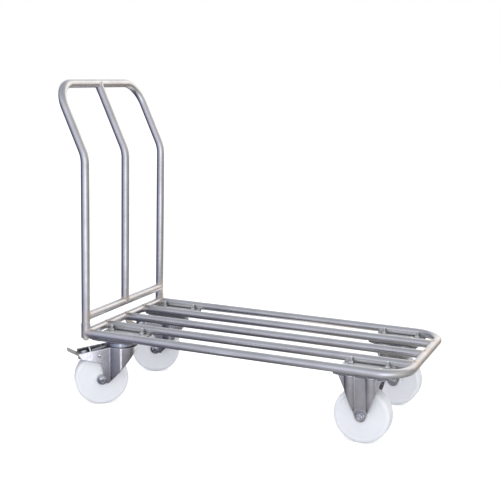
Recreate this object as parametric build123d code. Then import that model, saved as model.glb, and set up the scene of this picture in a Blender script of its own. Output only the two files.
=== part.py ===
# Stainless handling trolley: a tube platform, a hoop handle, two fixed castors at the
# front and two braked swivel castors at the back, under the handle.
# Millimetres. +X runs to the front, +Y to the left side, +Z up. The origin lies on the
# floor under the middle of the deck.
from build123d import *
import math
import os

os.makedirs("parts", exist_ok=True)

# Deck
DECK_LENGTH = 1000.0
DECK_WIDTH = 500.0
TUBE_D = 25.0
TUBE_WALL = 1.5
INNER_BARS = ["right", "middle", "left"]
DECK_CORNER_R = 80.0

# Handle
HANDLE_STRAIGHT = 528.0
HANDLE_RISE = 206.0
HANDLE_BACK = 97.0
HANDLE_KINK_R = 90.0
HANDLE_CORNER_R = 75.0
CROSSBAR_UP = 49.5
SLEEVE_WALL = 1.2
SLEEVE_UP = 30.0
SLEEVE_DOWN = 14.0
FOOT_PLUG = 6.0
CAP_R = 11.0
CAP_DOME = 10.0

# Castors
WHEEL_D = 160.0
TREAD_WIDTH = 50.0
TREAD_ROUND = 9.0
HUB_WIDTH = 58.0
HUB_R = 21.0
HUB_SLOPE = 3.0
FACE_DISH = 1.2
FACE_RIM = 12.0
BORE_R = 13.0
SPACER_R = 10.0
AXLE_R = 6.0
AXLE_AF = 19.0
AXLE_HEAD = 7.5
FLANGE_R = 13.0
FLANGE_T = 2.5
BOLT_PAST_NUT = 2.0
CASTOR_HEADROOM = 40.0
SHEET = 3.5
PLATE_T = 4.0
PLATE_EDGE = 17.5
PLATE_CORNER_R = 8.0
HOLES_LONG = 105.0
HOLE_R = 4.5
FRONT_AXLE_IN = 137.5
REAR_PIVOT_IN = 97.5

# Fixed bracket
LEG_BEND_UP = 22.0
LEG_BEND_R = 40.0
LEG_LOBE_R = 16.0
LEG_SPREAD_IN = 10.0
LEG_ROOT_R = 5.0
SHOULDER_R = 7.0
RIB_R = 20.0
RIB_PROUD = 6.0
RIB_OUT = 30.0

# Swivel head and fork
TRAIL = 58.0
RACE_GAP = 18.0
WEB_T = 4.0
HEAD_R = 49.0
HEAD_FORWARD = 2.0
CREASE_R = 4.0
NOSE_EDGE = 2.0
TOE_R = 4.0
RING_R = 42.0
RING_T = 3.5
RING_LIFT = 1.0
RING_SINK = 6.0
BALL_R = 4.5
BALL_PITCH_R = 30.0
BALL_COUNT = 12
CUP_WALL = 4.0
KING_R = 8.0
KING_FLANGE_R = 17.0
KING_FLANGE_T = 6.0
ARM_PAST_AXLE = 73.0
ARM_DROP = 17.5
ARM_DEEP = 18.0
ARM_TIP_BACK = 12.0
ARM_TIP_R = 2.0
ARM_UNDER_R = 8.0
ARM_ROOT_UP = 50.0
ARM_ROOT_BACK = 3.0
ARM_ROOT_R = 10.0
LEG_BACK = 2.0
LEG_TOE = 20.0
LEG_TOE_DOWN = 12.0
BALL_SINK = 1.0

# Brake
LEVER_SHEET = 2.5
LEVER_PLAY = 0.7
LEVER_BOSS_R = 8.0
LEVER_DEEP = 10.0
LEVER_SUNK = 6.0
LEVER_BEND_R = 6.0
LEVER_END_R = 4.0
BRIDGE_LAP = 1.0
BRIDGE_PAST_PIVOT = 33.0
PEDAL_OUT = 29.0
PEDAL_RISE = 16.5
PEDAL_WIDE = 40.0
PEDAL_CORNER_R = 8.0
PEDAL_ROOT_IN = 2.0
PEDAL_TRAVEL = 9.0
PIVOT_PAST_AXLE = 8.0
PIVOT_UP = 74.0
PIVOT_R = 3.5
PIVOT_HEAD_R = 5.0
PIVOT_HEAD_T = 1.5
SHOE_LONG = 18.0
SHOE_WIDE = 28.0
STAY_R = 3.0
STAY_PAST_PIVOT = 26.0
STAY_UNDER_EDGE = 3.4
SPRING_T = 1.5
SPRING_WIDE = 20.0
SPRING_START = 20.0
SPRING_END_PAST_PIVOT = 20.0
SPRING_DROP = 11.0
SPRING_BEND_R = 6.0

# Plates and fasteners that hold the castors to the deck
MOUNT_LENGTH = 150.0
MOUNT_PAST_TUBE = 1.0
MOUNT_CORNER_R = 4.0
MOUNT_T = 5.0
BOLT_R = 4.0
BOLT_AF = 13.0
BOLT_HEAD = 5.3
NUT_T = 6.8
NUT_CLEAR = 2.875
WASHER_R = 8.0
WASHER_T = 1.6
BOLT_PAST_PLATE = 20.0

# Clearances
RUNNING = 0.05
SIDE_PLAY = 0.5
GAP = 0.3
TRIM = 3.0
THROUGH = 1.0

# Sizes that follow from those above
TUBE_R = TUBE_D / 2
WHEEL_R = WHEEL_D / 2
SLEEVE_R = TUBE_R + SLEEVE_WALL
CASTOR_HEIGHT = WHEEL_D + CASTOR_HEADROOM
DECK_Z = CASTOR_HEIGHT + MOUNT_T + TUBE_R
REAR_X = -(DECK_LENGTH - TUBE_D) / 2
FRONT_X = -REAR_X
SIDE_Y = (DECK_WIDTH - TUBE_D) / 2
BAR_PITCH = 2 * SIDE_Y / (len(INNER_BARS) + 1)
CASTOR_Y = SIDE_Y - BAR_PITCH / 2
HOLES_WIDE = BAR_PITCH - TUBE_D - BOLT_AF - 2 * NUT_CLEAR
PLATE_LENGTH = HOLES_LONG + 2 * PLATE_EDGE
PLATE_WIDTH = HOLES_WIDE + 2 * PLATE_EDGE
MOUNT_WIDTH = BAR_PITCH + 2 * MOUNT_PAST_TUBE
FRONT_AXLE_X = FRONT_X + TUBE_R - FRONT_AXLE_IN
REAR_PIVOT_X = REAR_X - TUBE_R + REAR_PIVOT_IN
TOP_BAR_X = REAR_X - HANDLE_BACK
KINK_Z = DECK_Z + HANDLE_STRAIGHT
TOP_BAR_Z = KINK_Z + HANDLE_RISE
CROSSBAR_Z = DECK_Z + CROSSBAR_UP
FOOT_Z = DECK_Z - SLEEVE_DOWN
LEG_IN = HUB_WIDTH / 2 + SIDE_PLAY
LEG_OUT = LEG_IN + SHEET
LEG_BEND_Z = WHEEL_R + LEG_BEND_UP
PLATE_UNDER = CASTOR_HEIGHT - PLATE_T
HEAD_TOP = PLATE_UNDER - RACE_GAP
WEB_UNDER = HEAD_TOP - WEB_T
BALL_Z = HEAD_TOP + BALL_R - BALL_SINK
CUP_R = RING_R - RING_T
CUP_UNDER = BALL_Z + BALL_R - BALL_SINK
ARM_END = TRAIL + ARM_PAST_AXLE
CREASE = math.sqrt(HEAD_R**2 - LEG_OUT**2) - HEAD_FORWARD
PIVOT_X = -(TRAIL + PIVOT_PAST_AXLE)
PIVOT_Z = WHEEL_R + PIVOT_UP
BRIDGE_X = PIVOT_X - BRIDGE_PAST_PIVOT
LEVER_OUT = LEG_IN - LEVER_PLAY
LEVER_IN = LEVER_OUT - LEVER_SHEET

SIDES = {"right": -1, "left": 1}
SWIVEL_TURN = {"right": 36.0, "left": 22.0}


def face(corners, radii):
    """A flat face through the corners, counter-clockwise, each rounded by its radius."""
    return make_face(FilletPolyline(*corners, radius=radii, close=True))


def rod(radius, start, end):
    """A round bar between two points."""
    start = Vector(*start)
    run = Vector(*end) - start
    base = Align.CENTER, Align.CENTER, Align.MIN
    return Plane(origin=start, z_dir=run) * Cylinder(radius, run.length, align=base)


def ring(outer, inner, start, end):
    """A round sleeve between two points."""
    return rod(outer, start, end) - rod(inner, start, end)


def slab(shape, low, high):
    """A flat sketch raised into a solid between two heights."""
    return Pos(0, 0, low) * extrude(shape, amount=high - low)


def hexagon(across_flats, low, high):
    """A hexagonal prism with two flats facing the sides."""
    return slab(RegularPolygon(across_flats / 2, 6, major_radius=False), low, high)


def tube(corners, radii, bore=True):
    """The deck tube, bent at each corner, or the bar that fills it."""
    path = FilletPolyline(*corners, radius=radii) if radii else Line(*corners)
    section = Circle(TUBE_R)
    if bore:
        section = section - Circle(TUBE_R - TUBE_WALL)
    return sweep(Plane(origin=path @ 0, z_dir=path % 0) * section, path=path)


def sleeve_bar(side):
    """What a corner sleeve and the foot in it fill."""
    low = (REAR_X, side * SIDE_Y, FOOT_Z)
    high = (REAR_X, side * SIDE_Y, DECK_Z + SLEEVE_UP)
    return rod(SLEEVE_R, low, high)


def side_bar(side):
    """The solid bar that fills the straight rear run of the outer tube on one side."""
    return rod(TUBE_R, (REAR_X, side * SIDE_Y, DECK_Z), (0, side * SIDE_Y, DECK_Z))


def deck_outer_tube():
    """One tube bent to a U, its two ends coped to the corner sleeves."""
    start = REAR_X + TUBE_R / 2
    corners = [
        (start, -SIDE_Y, DECK_Z),
        (FRONT_X, -SIDE_Y, DECK_Z),
        (FRONT_X, SIDE_Y, DECK_Z),
        (start, SIDE_Y, DECK_Z),
    ]
    radii = [DECK_CORNER_R, DECK_CORNER_R]
    return tube(corners, radii) - sleeve_bar(-1) - sleeve_bar(1)


def rear_cross_corners():
    """The ends of the rear cross tube, inside the corner sleeves."""
    reach = SIDE_Y - TUBE_R / 2
    return [(REAR_X, -reach, DECK_Z), (REAR_X, reach, DECK_Z)]


def deck_rear_cross():
    """The straight tube between the two rear corners."""
    body = tube(rear_cross_corners(), [])
    for side in (-1, 1):
        body = body - sleeve_bar(side) - side_bar(side)
    return body


def deck_inner_tube(y):
    """A lengthwise tube coped to both cross tubes."""
    body = tube([(REAR_X + TRIM, y, DECK_Z), (FRONT_X - TRIM, y, DECK_Z)], [])
    rear = tube(rear_cross_corners(), [], bore=False)
    front = tube([(FRONT_X, -SIDE_Y, DECK_Z), (FRONT_X, SIDE_Y, DECK_Z)], [], bore=False)
    return body - rear - front


def corner_sleeve(side):
    """The short socket round a foot of the handle."""
    low = (REAR_X, side * SIDE_Y, FOOT_Z)
    return sleeve_bar(side) - rod(TUBE_R, low, (REAR_X, side * SIDE_Y, KINK_Z))


def foot_cap(side):
    """A domed plug that closes a corner sleeve from below."""
    low = (REAR_X, side * SIDE_Y, FOOT_Z)
    high = (REAR_X, side * SIDE_Y, FOOT_Z + FOOT_PLUG)
    dome_r = (CAP_R**2 + CAP_DOME**2) / (2 * CAP_DOME)
    ball = Pos(REAR_X, side * SIDE_Y, FOOT_Z - CAP_DOME + dome_r) * Sphere(dome_r)
    below = rod(CAP_R, low, (REAR_X, side * SIDE_Y, FOOT_Z - CAP_DOME - THROUGH))
    return rod(TUBE_R, low, high) + (ball & below)


def handle_hoop():
    """Both uprights and the top bar, bent from one tube."""
    foot = FOOT_Z + FOOT_PLUG
    corners = [
        (REAR_X, -SIDE_Y, foot),
        (REAR_X, -SIDE_Y, KINK_Z),
        (TOP_BAR_X, -SIDE_Y, TOP_BAR_Z),
        (TOP_BAR_X, SIDE_Y, TOP_BAR_Z),
        (REAR_X, SIDE_Y, KINK_Z),
        (REAR_X, SIDE_Y, foot),
    ]
    return tube(corners, [HANDLE_KINK_R, HANDLE_CORNER_R, HANDLE_CORNER_R, HANDLE_KINK_R])


def crossbar_corners():
    """The ends of the lower crossbar, short of the middle of each upright."""
    reach = SIDE_Y - TRIM
    return [(REAR_X, -reach, CROSSBAR_Z), (REAR_X, reach, CROSSBAR_Z)]


def upright_bar(side):
    """The solid bar that fills one upright below its kink."""
    return rod(TUBE_R, (REAR_X, side * SIDE_Y, FOOT_Z), (REAR_X, side * SIDE_Y, KINK_Z))


def handle_crossbar():
    """The straight bar between the uprights, coped to them."""
    return tube(crossbar_corners(), []) - upright_bar(-1) - upright_bar(1)


def handle_middle():
    """The kinked middle upright, coped to the crossbar and to the top bar."""
    slant = math.hypot(HANDLE_BACK, HANDLE_RISE)
    share = 1 - TRIM / slant
    top = (REAR_X - HANDLE_BACK * share, 0, KINK_Z + HANDLE_RISE * share)
    corners = [(REAR_X, 0, CROSSBAR_Z + TRIM), (REAR_X, 0, KINK_Z), top]
    top_bar = rod(TUBE_R, (TOP_BAR_X, -SIDE_Y, TOP_BAR_Z), (TOP_BAR_X, SIDE_Y, TOP_BAR_Z))
    return tube(corners, [HANDLE_KINK_R]) - top_bar - tube(crossbar_corners(), [], bore=False)


def at_bolts(piece):
    """Four copies of a piece at the corners of a castor plate's hole pattern."""
    return [spot * piece for spot in GridLocations(HOLES_LONG, HOLES_WIDE, 2, 2)]


def plate_sketch(length, width, corner, hole):
    """A rectangular plate with rounded corners and the four bolt holes."""
    return RectangleRounded(length, width, corner) - Sketch(children=at_bolts(Circle(hole)))


def mounting_plate(spot):
    """The plate under two deck tubes that a castor is bolted to, cut round a near sleeve."""
    shape = plate_sketch(MOUNT_LENGTH, MOUNT_WIDTH, MOUNT_CORNER_R, HOLE_R)
    body = spot * slab(shape, CASTOR_HEIGHT, CASTOR_HEIGHT + MOUNT_T)
    for side in (-1, 1):
        body = body - rod(SLEEVE_R, (REAR_X, side * SIDE_Y, 0), (REAR_X, side * SIDE_Y, DECK_Z))
    return body


def plate_bolt():
    """A hexagon bolt put in from below, its head under the castor plate."""
    top = CASTOR_HEIGHT + MOUNT_T + BOLT_PAST_PLATE
    head = hexagon(BOLT_AF, PLATE_UNDER - BOLT_HEAD, PLATE_UNDER)
    return head + rod(BOLT_R, (0, 0, PLATE_UNDER), (0, 0, top))


def plate_washer():
    """The washer between a nut and the mounting plate."""
    low = CASTOR_HEIGHT + MOUNT_T
    return ring(WASHER_R, BOLT_R, (0, 0, low), (0, 0, low + WASHER_T))


def plate_nut():
    """The nut on top of a washer."""
    low = CASTOR_HEIGHT + MOUNT_T + WASHER_T
    bore = rod(BOLT_R, (0, 0, low), (0, 0, low + NUT_T))
    return hexagon(BOLT_AF, low, low + NUT_T) - bore


def across(radius, half):
    """A bar along the axle's direction, centred on the wheel."""
    return rod(radius, (0, -half, WHEEL_R), (0, half, WHEEL_R))


def wheel():
    """A solid nylon wheel: rounded tread, dished faces and a proud hub."""
    tread = TREAD_WIDTH / 2
    hub = HUB_WIDTH / 2
    inner = WHEEL_R - FACE_RIM
    half = [
        (WHEEL_R, tread, TREAD_ROUND),
        (inner, tread, 0),
        (inner - FACE_DISH, tread - FACE_DISH, 0),
        (HUB_R + HUB_SLOPE, tread - FACE_DISH, 0),
        (HUB_R, hub, 0),
        (BORE_R, hub, 0),
    ]
    mirrored = [(x, -y, radius) for x, y, radius in reversed(half)]
    corners = [(x, y) for x, y, radius in half + mirrored]
    radii = [radius for x, y, radius in half + mirrored]
    return Pos(0, 0, WHEEL_R) * revolve(face(corners, radii), Axis.Y)


def bush():
    """The bearing bush pressed into the wheel."""
    half = HUB_WIDTH / 2
    return across(BORE_R, half) - across(SPACER_R + RUNNING, half)


def spacer():
    """The tube that the legs clamp and the bush runs on."""
    return across(SPACER_R, LEG_IN) - across(AXLE_R, LEG_IN)


def along_axle(piece):
    """A piece drawn up +Z, laid over so that it points to the right side."""
    return Pos(0, 0, WHEEL_R) * Rot(90, 0, 0) * piece


def axle_bolt():
    """The axle bolt, its head outside the left leg and its end past the nut."""
    head = hexagon(AXLE_AF, -LEG_OUT - AXLE_HEAD, -LEG_OUT)
    end = LEG_OUT + FLANGE_T + AXLE_HEAD + BOLT_PAST_NUT
    return along_axle(head + rod(AXLE_R, (0, 0, -LEG_OUT), (0, 0, end)))


def axle_nut():
    """The flange nut outside the right leg."""
    low = LEG_OUT
    body = hexagon(AXLE_AF, low + FLANGE_T, low + FLANGE_T + AXLE_HEAD)
    body = body + rod(FLANGE_R, (0, 0, low), (0, 0, low + FLANGE_T))
    return along_axle(body - rod(AXLE_R, (0, 0, low), (0, 0, low + FLANGE_T + AXLE_HEAD)))


def leg_slope():
    """How far the fixed bracket's legs flare out for each millimetre of height."""
    return (PLATE_WIDTH / 2 - LEG_OUT) / (CASTOR_HEIGHT - LEG_BEND_Z)


def leg_face(z):
    """How far a leg's outer face stands from the middle, above its bend."""
    return LEG_OUT + leg_slope() * (z - LEG_BEND_Z)


def fixed_section(inset, top):
    """The bracket's cross-section: upright leg ends, then flanks that lean out to the plate."""
    low = WHEEL_R - LEG_LOBE_R - THROUGH
    leg = LEG_OUT - inset
    half = leg_face(top) - inset * math.hypot(1, leg_slope())
    corners = [
        (-leg, low),
        (leg, low),
        (leg, LEG_BEND_Z),
        (half, top),
        (-half, top),
        (-leg, LEG_BEND_Z),
    ]
    bend = LEG_BEND_R + inset
    shoulder = SHOULDER_R - inset
    return Plane.YZ * face(corners, [0, 0, bend, shoulder, shoulder, bend])


def rib(side, lean, radius):
    """A round-backed rib straight up one leg and over its shoulder."""
    sunk = RIB_R - RIB_PROUD
    end = CASTOR_HEIGHT + RIB_R
    low = (lean * RIB_OUT, side * (leg_face(LEG_BEND_Z) - sunk), LEG_BEND_Z)
    high = (lean * RIB_OUT, side * (leg_face(end) - sunk), end)
    return Pos(*low) * Sphere(radius) + rod(radius, low, high)


def sheet_face(inset, top):
    """What one face of the bracket's sheet encloses: its outside, or its inside by the inset."""
    body = extrude(fixed_section(inset, top), amount=PLATE_LENGTH / 2, both=True)
    for side in (-1, 1):
        for lean in (-1, 1):
            body = body + rib(side, lean, RIB_R - inset)
    return body & slab(Rectangle(2 * PLATE_LENGTH, 2 * PLATE_LENGTH), 0, top)


def leg_outline():
    """The bracket seen from the side: two V legs, round at the axle, under the plate."""
    half = PLATE_LENGTH / 2
    spread = half - LEG_SPREAD_IN
    rise = PLATE_UNDER - WHEEL_R
    v_angle = math.acos(LEG_LOBE_R / math.hypot(spread, rise)) - math.atan2(rise, spread)
    corners = [
        (0, WHEEL_R - LEG_LOBE_R / math.sin(v_angle)),
        (spread, PLATE_UNDER),
        (half, PLATE_UNDER),
        (half, CASTOR_HEIGHT),
        (-half, CASTOR_HEIGHT),
        (-half, PLATE_UNDER),
        (-spread, PLATE_UNDER),
    ]
    return Plane.XZ * face(corners, [LEG_LOBE_R, LEG_ROOT_R, 0, 0, 0, 0, LEG_ROOT_R])


def fixed_bracket():
    """One pressed sheet: the plate, two V legs that flare out to it and their four ribs."""
    pressed = sheet_face(0, CASTOR_HEIGHT) - sheet_face(SHEET, PLATE_UNDER)
    pressed = pressed & extrude(leg_outline(), amount=PLATE_WIDTH, both=True)
    holes = Sketch(children=at_bolts(Circle(HOLE_R)))
    holes = slab(holes, PLATE_UNDER - THROUGH, CASTOR_HEIGHT + THROUGH)
    return pressed - across(AXLE_R, PLATE_WIDTH) - holes


def arm_edge(x):
    """Height of the arms' upper edge, which falls evenly towards their ends."""
    return HEAD_TOP - ARM_DROP * (-x - CREASE) / (ARM_END - CREASE)


def side_prism(corners, radii, half):
    """A side view drawn in X and Z, as thick as twice the half on both sides."""
    return extrude(Plane.XZ * face(corners, radii), amount=half, both=True)


def at_trail(piece):
    """A wheel or axle piece, moved back from the swivel axis."""
    return Pos(-TRAIL, 0, 0) * piece


def fork_plan(head_r, half, reach, crease_r):
    """The fork seen from above: two straight arms that bend softly into a round head."""
    arms = Pos((HEAD_FORWARD - reach) / 2, 0) * Rectangle(reach + HEAD_FORWARD, 2 * half)
    plan = arms + Pos(HEAD_FORWARD, 0) * Circle(head_r)
    meet = HEAD_FORWARD - math.sqrt(head_r**2 - half**2)
    bends = [plan.vertices().sort_by_distance((meet, side * half))[0] for side in (-1, 1)]
    return fillet(bends, crease_r)


def fork_side():
    """The fork seen from the side: slanted nose, legs and trailing arms."""
    toe = (-TRAIL + LEG_TOE, WHEEL_R - LEG_TOE_DOWN)
    nose = HEAD_FORWARD + HEAD_R + THROUGH
    leg_back = -TRAIL + LEG_BACK
    outline = [
        (toe, TOE_R),
        ((nose, HEAD_TOP - NOSE_EDGE), 0),
        ((nose, HEAD_TOP), 0),
        ((-CREASE, HEAD_TOP), 0),
        ((-ARM_END, arm_edge(-ARM_END)), ARM_TIP_R),
        ((-ARM_END + ARM_TIP_BACK, arm_edge(-ARM_END) - ARM_DEEP), ARM_UNDER_R),
        ((-TRAIL - ARM_ROOT_BACK, WHEEL_R + ARM_ROOT_UP), ARM_ROOT_R),
        ((leg_back, WHEEL_R + ARM_ROOT_UP / 2), 0),
        ((leg_back, WHEEL_R - LEG_TOE_DOWN), 0),
    ]
    corners = [corner for corner, radius in outline]
    radii = [radius for corner, radius in outline]
    half = HEAD_R + THROUGH
    return side_prism(corners, radii, half) + at_trail(across(LEG_LOBE_R, half))


def swivel_fork():
    """The pressed fork: walls cut to the side view, and the web that carries the race."""
    low = WHEEL_R - LEG_LOBE_R - THROUGH
    walls = fork_plan(HEAD_R, LEG_OUT, ARM_END, CREASE_R)
    walls = walls - fork_plan(HEAD_R - SHEET, LEG_IN, ARM_END + THROUGH, CREASE_R + SHEET)
    body = slab(walls, low, HEAD_TOP) & fork_side()
    body = body + rod(HEAD_R, (HEAD_FORWARD, 0, WEB_UNDER), (HEAD_FORWARD, 0, HEAD_TOP))
    body = body - rod(KING_R + RUNNING, (0, 0, WEB_UNDER - THROUGH), (0, 0, HEAD_TOP + THROUGH))
    body = body - Pos(0, 0, BALL_Z) * Torus(BALL_PITCH_R, BALL_R + RUNNING)
    body = body - at_trail(across(AXLE_R, HEAD_R))
    return body - rod(PIVOT_R, (PIVOT_X, -HEAD_R, PIVOT_Z), (PIVOT_X, HEAD_R, PIVOT_Z))


def top_plate():
    """The plate that is bolted on, with the upper race pressed into it."""
    shape = plate_sketch(PLATE_LENGTH, PLATE_WIDTH, PLATE_CORNER_R, HOLE_R)
    cup_in = BALL_PITCH_R - BALL_R - CUP_WALL
    body = slab(shape, PLATE_UNDER, CASTOR_HEIGHT)
    body = body + ring(CUP_R, cup_in, (0, 0, CUP_UNDER), (0, 0, PLATE_UNDER))
    body = body - Pos(0, 0, BALL_Z) * Torus(BALL_PITCH_R, BALL_R)
    return body - rod(KING_R, (0, 0, PLATE_UNDER - THROUGH), (0, 0, CASTOR_HEIGHT + THROUGH))


def balls():
    """The balls between the fork and the top plate."""
    return [spot * Pos(0, 0, BALL_Z) * Sphere(BALL_R)
            for spot in PolarLocations(BALL_PITCH_R, BALL_COUNT)]


def dust_ring():
    """The ring round the race that keeps dirt out."""
    return ring(RING_R, CUP_R, (0, 0, HEAD_TOP + RING_LIFT), (0, 0, PLATE_UNDER - RING_SINK))


def king_pin():
    """The riveted pin that holds the fork up against the top plate."""
    flange_top = WEB_UNDER - RUNNING
    flange = rod(KING_FLANGE_R, (0, 0, flange_top - KING_FLANGE_T), (0, 0, flange_top))
    flange = chamfer(flange.edges().sort_by(Axis.Z)[0], KING_FLANGE_T / 3)
    return flange + rod(KING_R, (0, 0, flange_top - THROUGH), (0, 0, CASTOR_HEIGHT))


def lever_top(x):
    """Height of the lever's upper face between the arms."""
    return arm_edge(x) - LEVER_SUNK


def brake_lever():
    """The pedal lever: two cheeks on the rivets, a bridge and the tongue for the foot."""
    end = -ARM_END + PEDAL_ROOT_IN
    tip = -ARM_END - PEDAL_OUT
    rise = lever_top(end) + PEDAL_RISE
    sheet = LEVER_SHEET
    strip = [
        (BRIDGE_X, lever_top(BRIDGE_X) - sheet),
        (BRIDGE_X, lever_top(BRIDGE_X)),
        (end, lever_top(end)),
        (tip, rise),
        (tip, rise - sheet),
        (end, lever_top(end) - sheet),
    ]
    strip_radii = [0, 0, LEVER_BEND_R, 0, 0, LEVER_BEND_R + sheet]
    bridge = side_prism(strip[::-1], strip_radii[::-1], LEVER_OUT)
    wide = Rectangle(BRIDGE_X - end, 2 * LEVER_OUT)
    wide = Pos((BRIDGE_X + end) / 2, 0) * wide
    tongue = RectangleRounded(BRIDGE_X - tip, PEDAL_WIDE, PEDAL_CORNER_R)
    tongue = Pos((BRIDGE_X + tip) / 2, 0) * tongue
    bridge = bridge & slab(wide + tongue, 0, CASTOR_HEIGHT)
    cheek = [
        (PIVOT_X, PIVOT_Z - LEVER_BOSS_R),
        (PIVOT_X, PIVOT_Z + LEVER_BOSS_R / 2),
        (BRIDGE_X + BRIDGE_LAP, PIVOT_Z + LEVER_BOSS_R / 2),
        (BRIDGE_X, lever_top(BRIDGE_X) - sheet / 2),
        (end, lever_top(end) - sheet / 2),
        (end, lever_top(end) - LEVER_DEEP),
    ]
    cheeks = side_prism(cheek, [0, 0, 0, 0, 0, LEVER_END_R], LEVER_OUT)
    boss_low = (PIVOT_X, -LEVER_OUT, PIVOT_Z)
    boss_high = (PIVOT_X, LEVER_OUT, PIVOT_Z)
    cheeks = cheeks + rod(LEVER_BOSS_R, boss_low, boss_high)
    long = ARM_END + PEDAL_OUT
    cheeks = cheeks - Pos(0, 0, PIVOT_Z) * Box(2 * long, 2 * LEVER_IN, 4 * LEVER_BOSS_R)
    return bridge + cheeks - rod(PIVOT_R + RUNNING, boss_low, boss_high)


def brake_shoe():
    """The block under the bridge, cut so that it fits the tread when pressed down."""
    front = BRIDGE_X
    back = front - SHOE_LONG
    corners = [
        (back, WHEEL_R),
        (front, WHEEL_R),
        (front, lever_top(front) - LEVER_SHEET),
        (back, lever_top(back) - LEVER_SHEET),
    ]
    block = side_prism(corners, [0, 0, 0, 0], SHOE_WIDE / 2)
    tread = at_trail(across(WHEEL_R + GAP, TREAD_WIDTH))
    pivot = Pos(PIVOT_X, 0, PIVOT_Z)
    return block - pivot * Rot(0, PEDAL_TRAVEL, 0) * Pos(-PIVOT_X, 0, -PIVOT_Z) * tread


def pivot_rivet(side):
    """A stub rivet through one leg that one cheek of the lever turns on."""
    axis = Vector(PIVOT_X, 0, PIVOT_Z)
    outward = Vector(0, side, 0)
    shank = rod(PIVOT_R, axis + outward * LEVER_IN, axis + outward * LEG_OUT)
    face_out = axis + outward * LEG_OUT
    return shank + rod(PIVOT_HEAD_R, face_out, face_out + outward * PIVOT_HEAD_T)


def arm_stay():
    """The pin that holds the two arms apart."""
    x = PIVOT_X - STAY_PAST_PIVOT
    z = arm_edge(x) - STAY_UNDER_EDGE
    return rod(STAY_R, (x, -LEG_IN, z), (x, LEG_IN, z))


def leaf_spring():
    """The strip that starts flat under the head and slopes back to the lever."""
    end = PIVOT_X - SPRING_END_PAST_PIVOT
    bend = HEAD_FORWARD - HEAD_R
    corners = [
        (-SPRING_START, WEB_UNDER - SPRING_T),
        (-SPRING_START, WEB_UNDER),
        (bend, WEB_UNDER),
        (end, WEB_UNDER - SPRING_DROP),
        (end, WEB_UNDER - SPRING_DROP - SPRING_T),
        (bend, WEB_UNDER - SPRING_T),
    ]
    radii = [0, 0, SPRING_BEND_R, 0, 0, SPRING_BEND_R - SPRING_T]
    return side_prism(corners, radii, SPRING_WIDE / 2)


def write(name, pieces):
    """Writes one sub-part; a list of pieces stays a group of separate solids."""
    shape = Compound(children=list(pieces)) if isinstance(pieces, list) else pieces
    export_step(shape, f"parts/{name}.step")


def wheel_set():
    """The five pieces that every castor's wheel has, on its own axle."""
    return {
        "wheel": wheel(),
        "bush": bush(),
        "spacer": spacer(),
        "axle_bolt": axle_bolt(),
        "axle_nut": axle_nut(),
    }


def write_frame():
    """The tubes of the deck and the handle, their sleeves and caps."""
    write("deck_outer_tube", deck_outer_tube())
    write("deck_rear_cross_tube", deck_rear_cross())
    for index, name in enumerate(INNER_BARS, start=1):
        write(f"deck_inner_tube_{name}", deck_inner_tube(index * BAR_PITCH - SIDE_Y))
    write("corner_sleeves", [corner_sleeve(side) for side in SIDES.values()])
    write("foot_caps", [foot_cap(side) for side in SIDES.values()])
    write("handle_hoop", handle_hoop())
    write("handle_middle_upright", handle_middle())
    write("handle_crossbar", handle_crossbar())


def write_fasteners():
    """The mounting plates and what holds the castors to them."""
    spots = {}
    for side_name, side in SIDES.items():
        spots[f"front_{side_name}"] = Pos(FRONT_AXLE_X, side * CASTOR_Y, 0)
        spots[f"rear_{side_name}"] = Pos(REAR_PIVOT_X, side * CASTOR_Y, 0)
    for name, spot in spots.items():
        write(f"mounting_plate_{name}", mounting_plate(spot))
    fasteners = {"bolts": plate_bolt(), "washers": plate_washer(), "nuts": plate_nut()}
    for name, piece in fasteners.items():
        copies = [spot * copy for spot in spots.values() for copy in at_bolts(piece)]
        write(f"castor_{name}", copies)


def write_fixed_castor(side_name):
    """One fixed castor at the front."""
    spot = Pos(FRONT_AXLE_X, SIDES[side_name] * CASTOR_Y, 0)
    pieces = {"bracket": fixed_bracket(), **wheel_set()}
    for name, piece in pieces.items():
        write(f"front_{side_name}_{name}", spot * piece)


def write_swivel_castor(side_name):
    """One braked swivel castor at the back, its fork turned as it stands at rest."""
    spot = Pos(REAR_PIVOT_X, SIDES[side_name] * CASTOR_Y, 0)
    turned = spot * Rot(0, 0, SWIVEL_TURN[side_name])
    fixed = {"top_plate": top_plate(), "king_pin": king_pin(), "dust_ring": dust_ring()}
    for name, piece in fixed.items():
        write(f"rear_{side_name}_{name}", spot * piece)
    write(f"rear_{side_name}_balls", [spot * ball for ball in balls()])
    pieces = {
        "fork": swivel_fork(),
        "arm_stay": arm_stay(),
        "leaf_spring": leaf_spring(),
        "brake_lever": brake_lever(),
        "brake_shoe": brake_shoe(),
    }
    for name, piece in wheel_set().items():
        pieces[name] = at_trail(piece)
    for name, piece in pieces.items():
        write(f"rear_{side_name}_{name}", turned * piece)
    write(f"rear_{side_name}_rivets", [turned * pivot_rivet(side) for side in (-1, 1)])


write_frame()
write_fasteners()
for side_name in SIDES:
    write_fixed_castor(side_name)
    write_swivel_castor(side_name)
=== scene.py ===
# %% [markdown]
# # A stainless handling trolley, dressed for its picture
# The rigid model comes in first and stays where it is: tubes, plates, castors, wheels.
# This lesson adds what a rigid model leaves out, such as weld beads, screw threads and
# domed rivets, then gives every surface a finish and sets up the studio and camera.

# %% Load the fixed frame
import math

import bmesh
import bpy
import numpy as np
from mathutils import Matrix, Vector, noise


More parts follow.
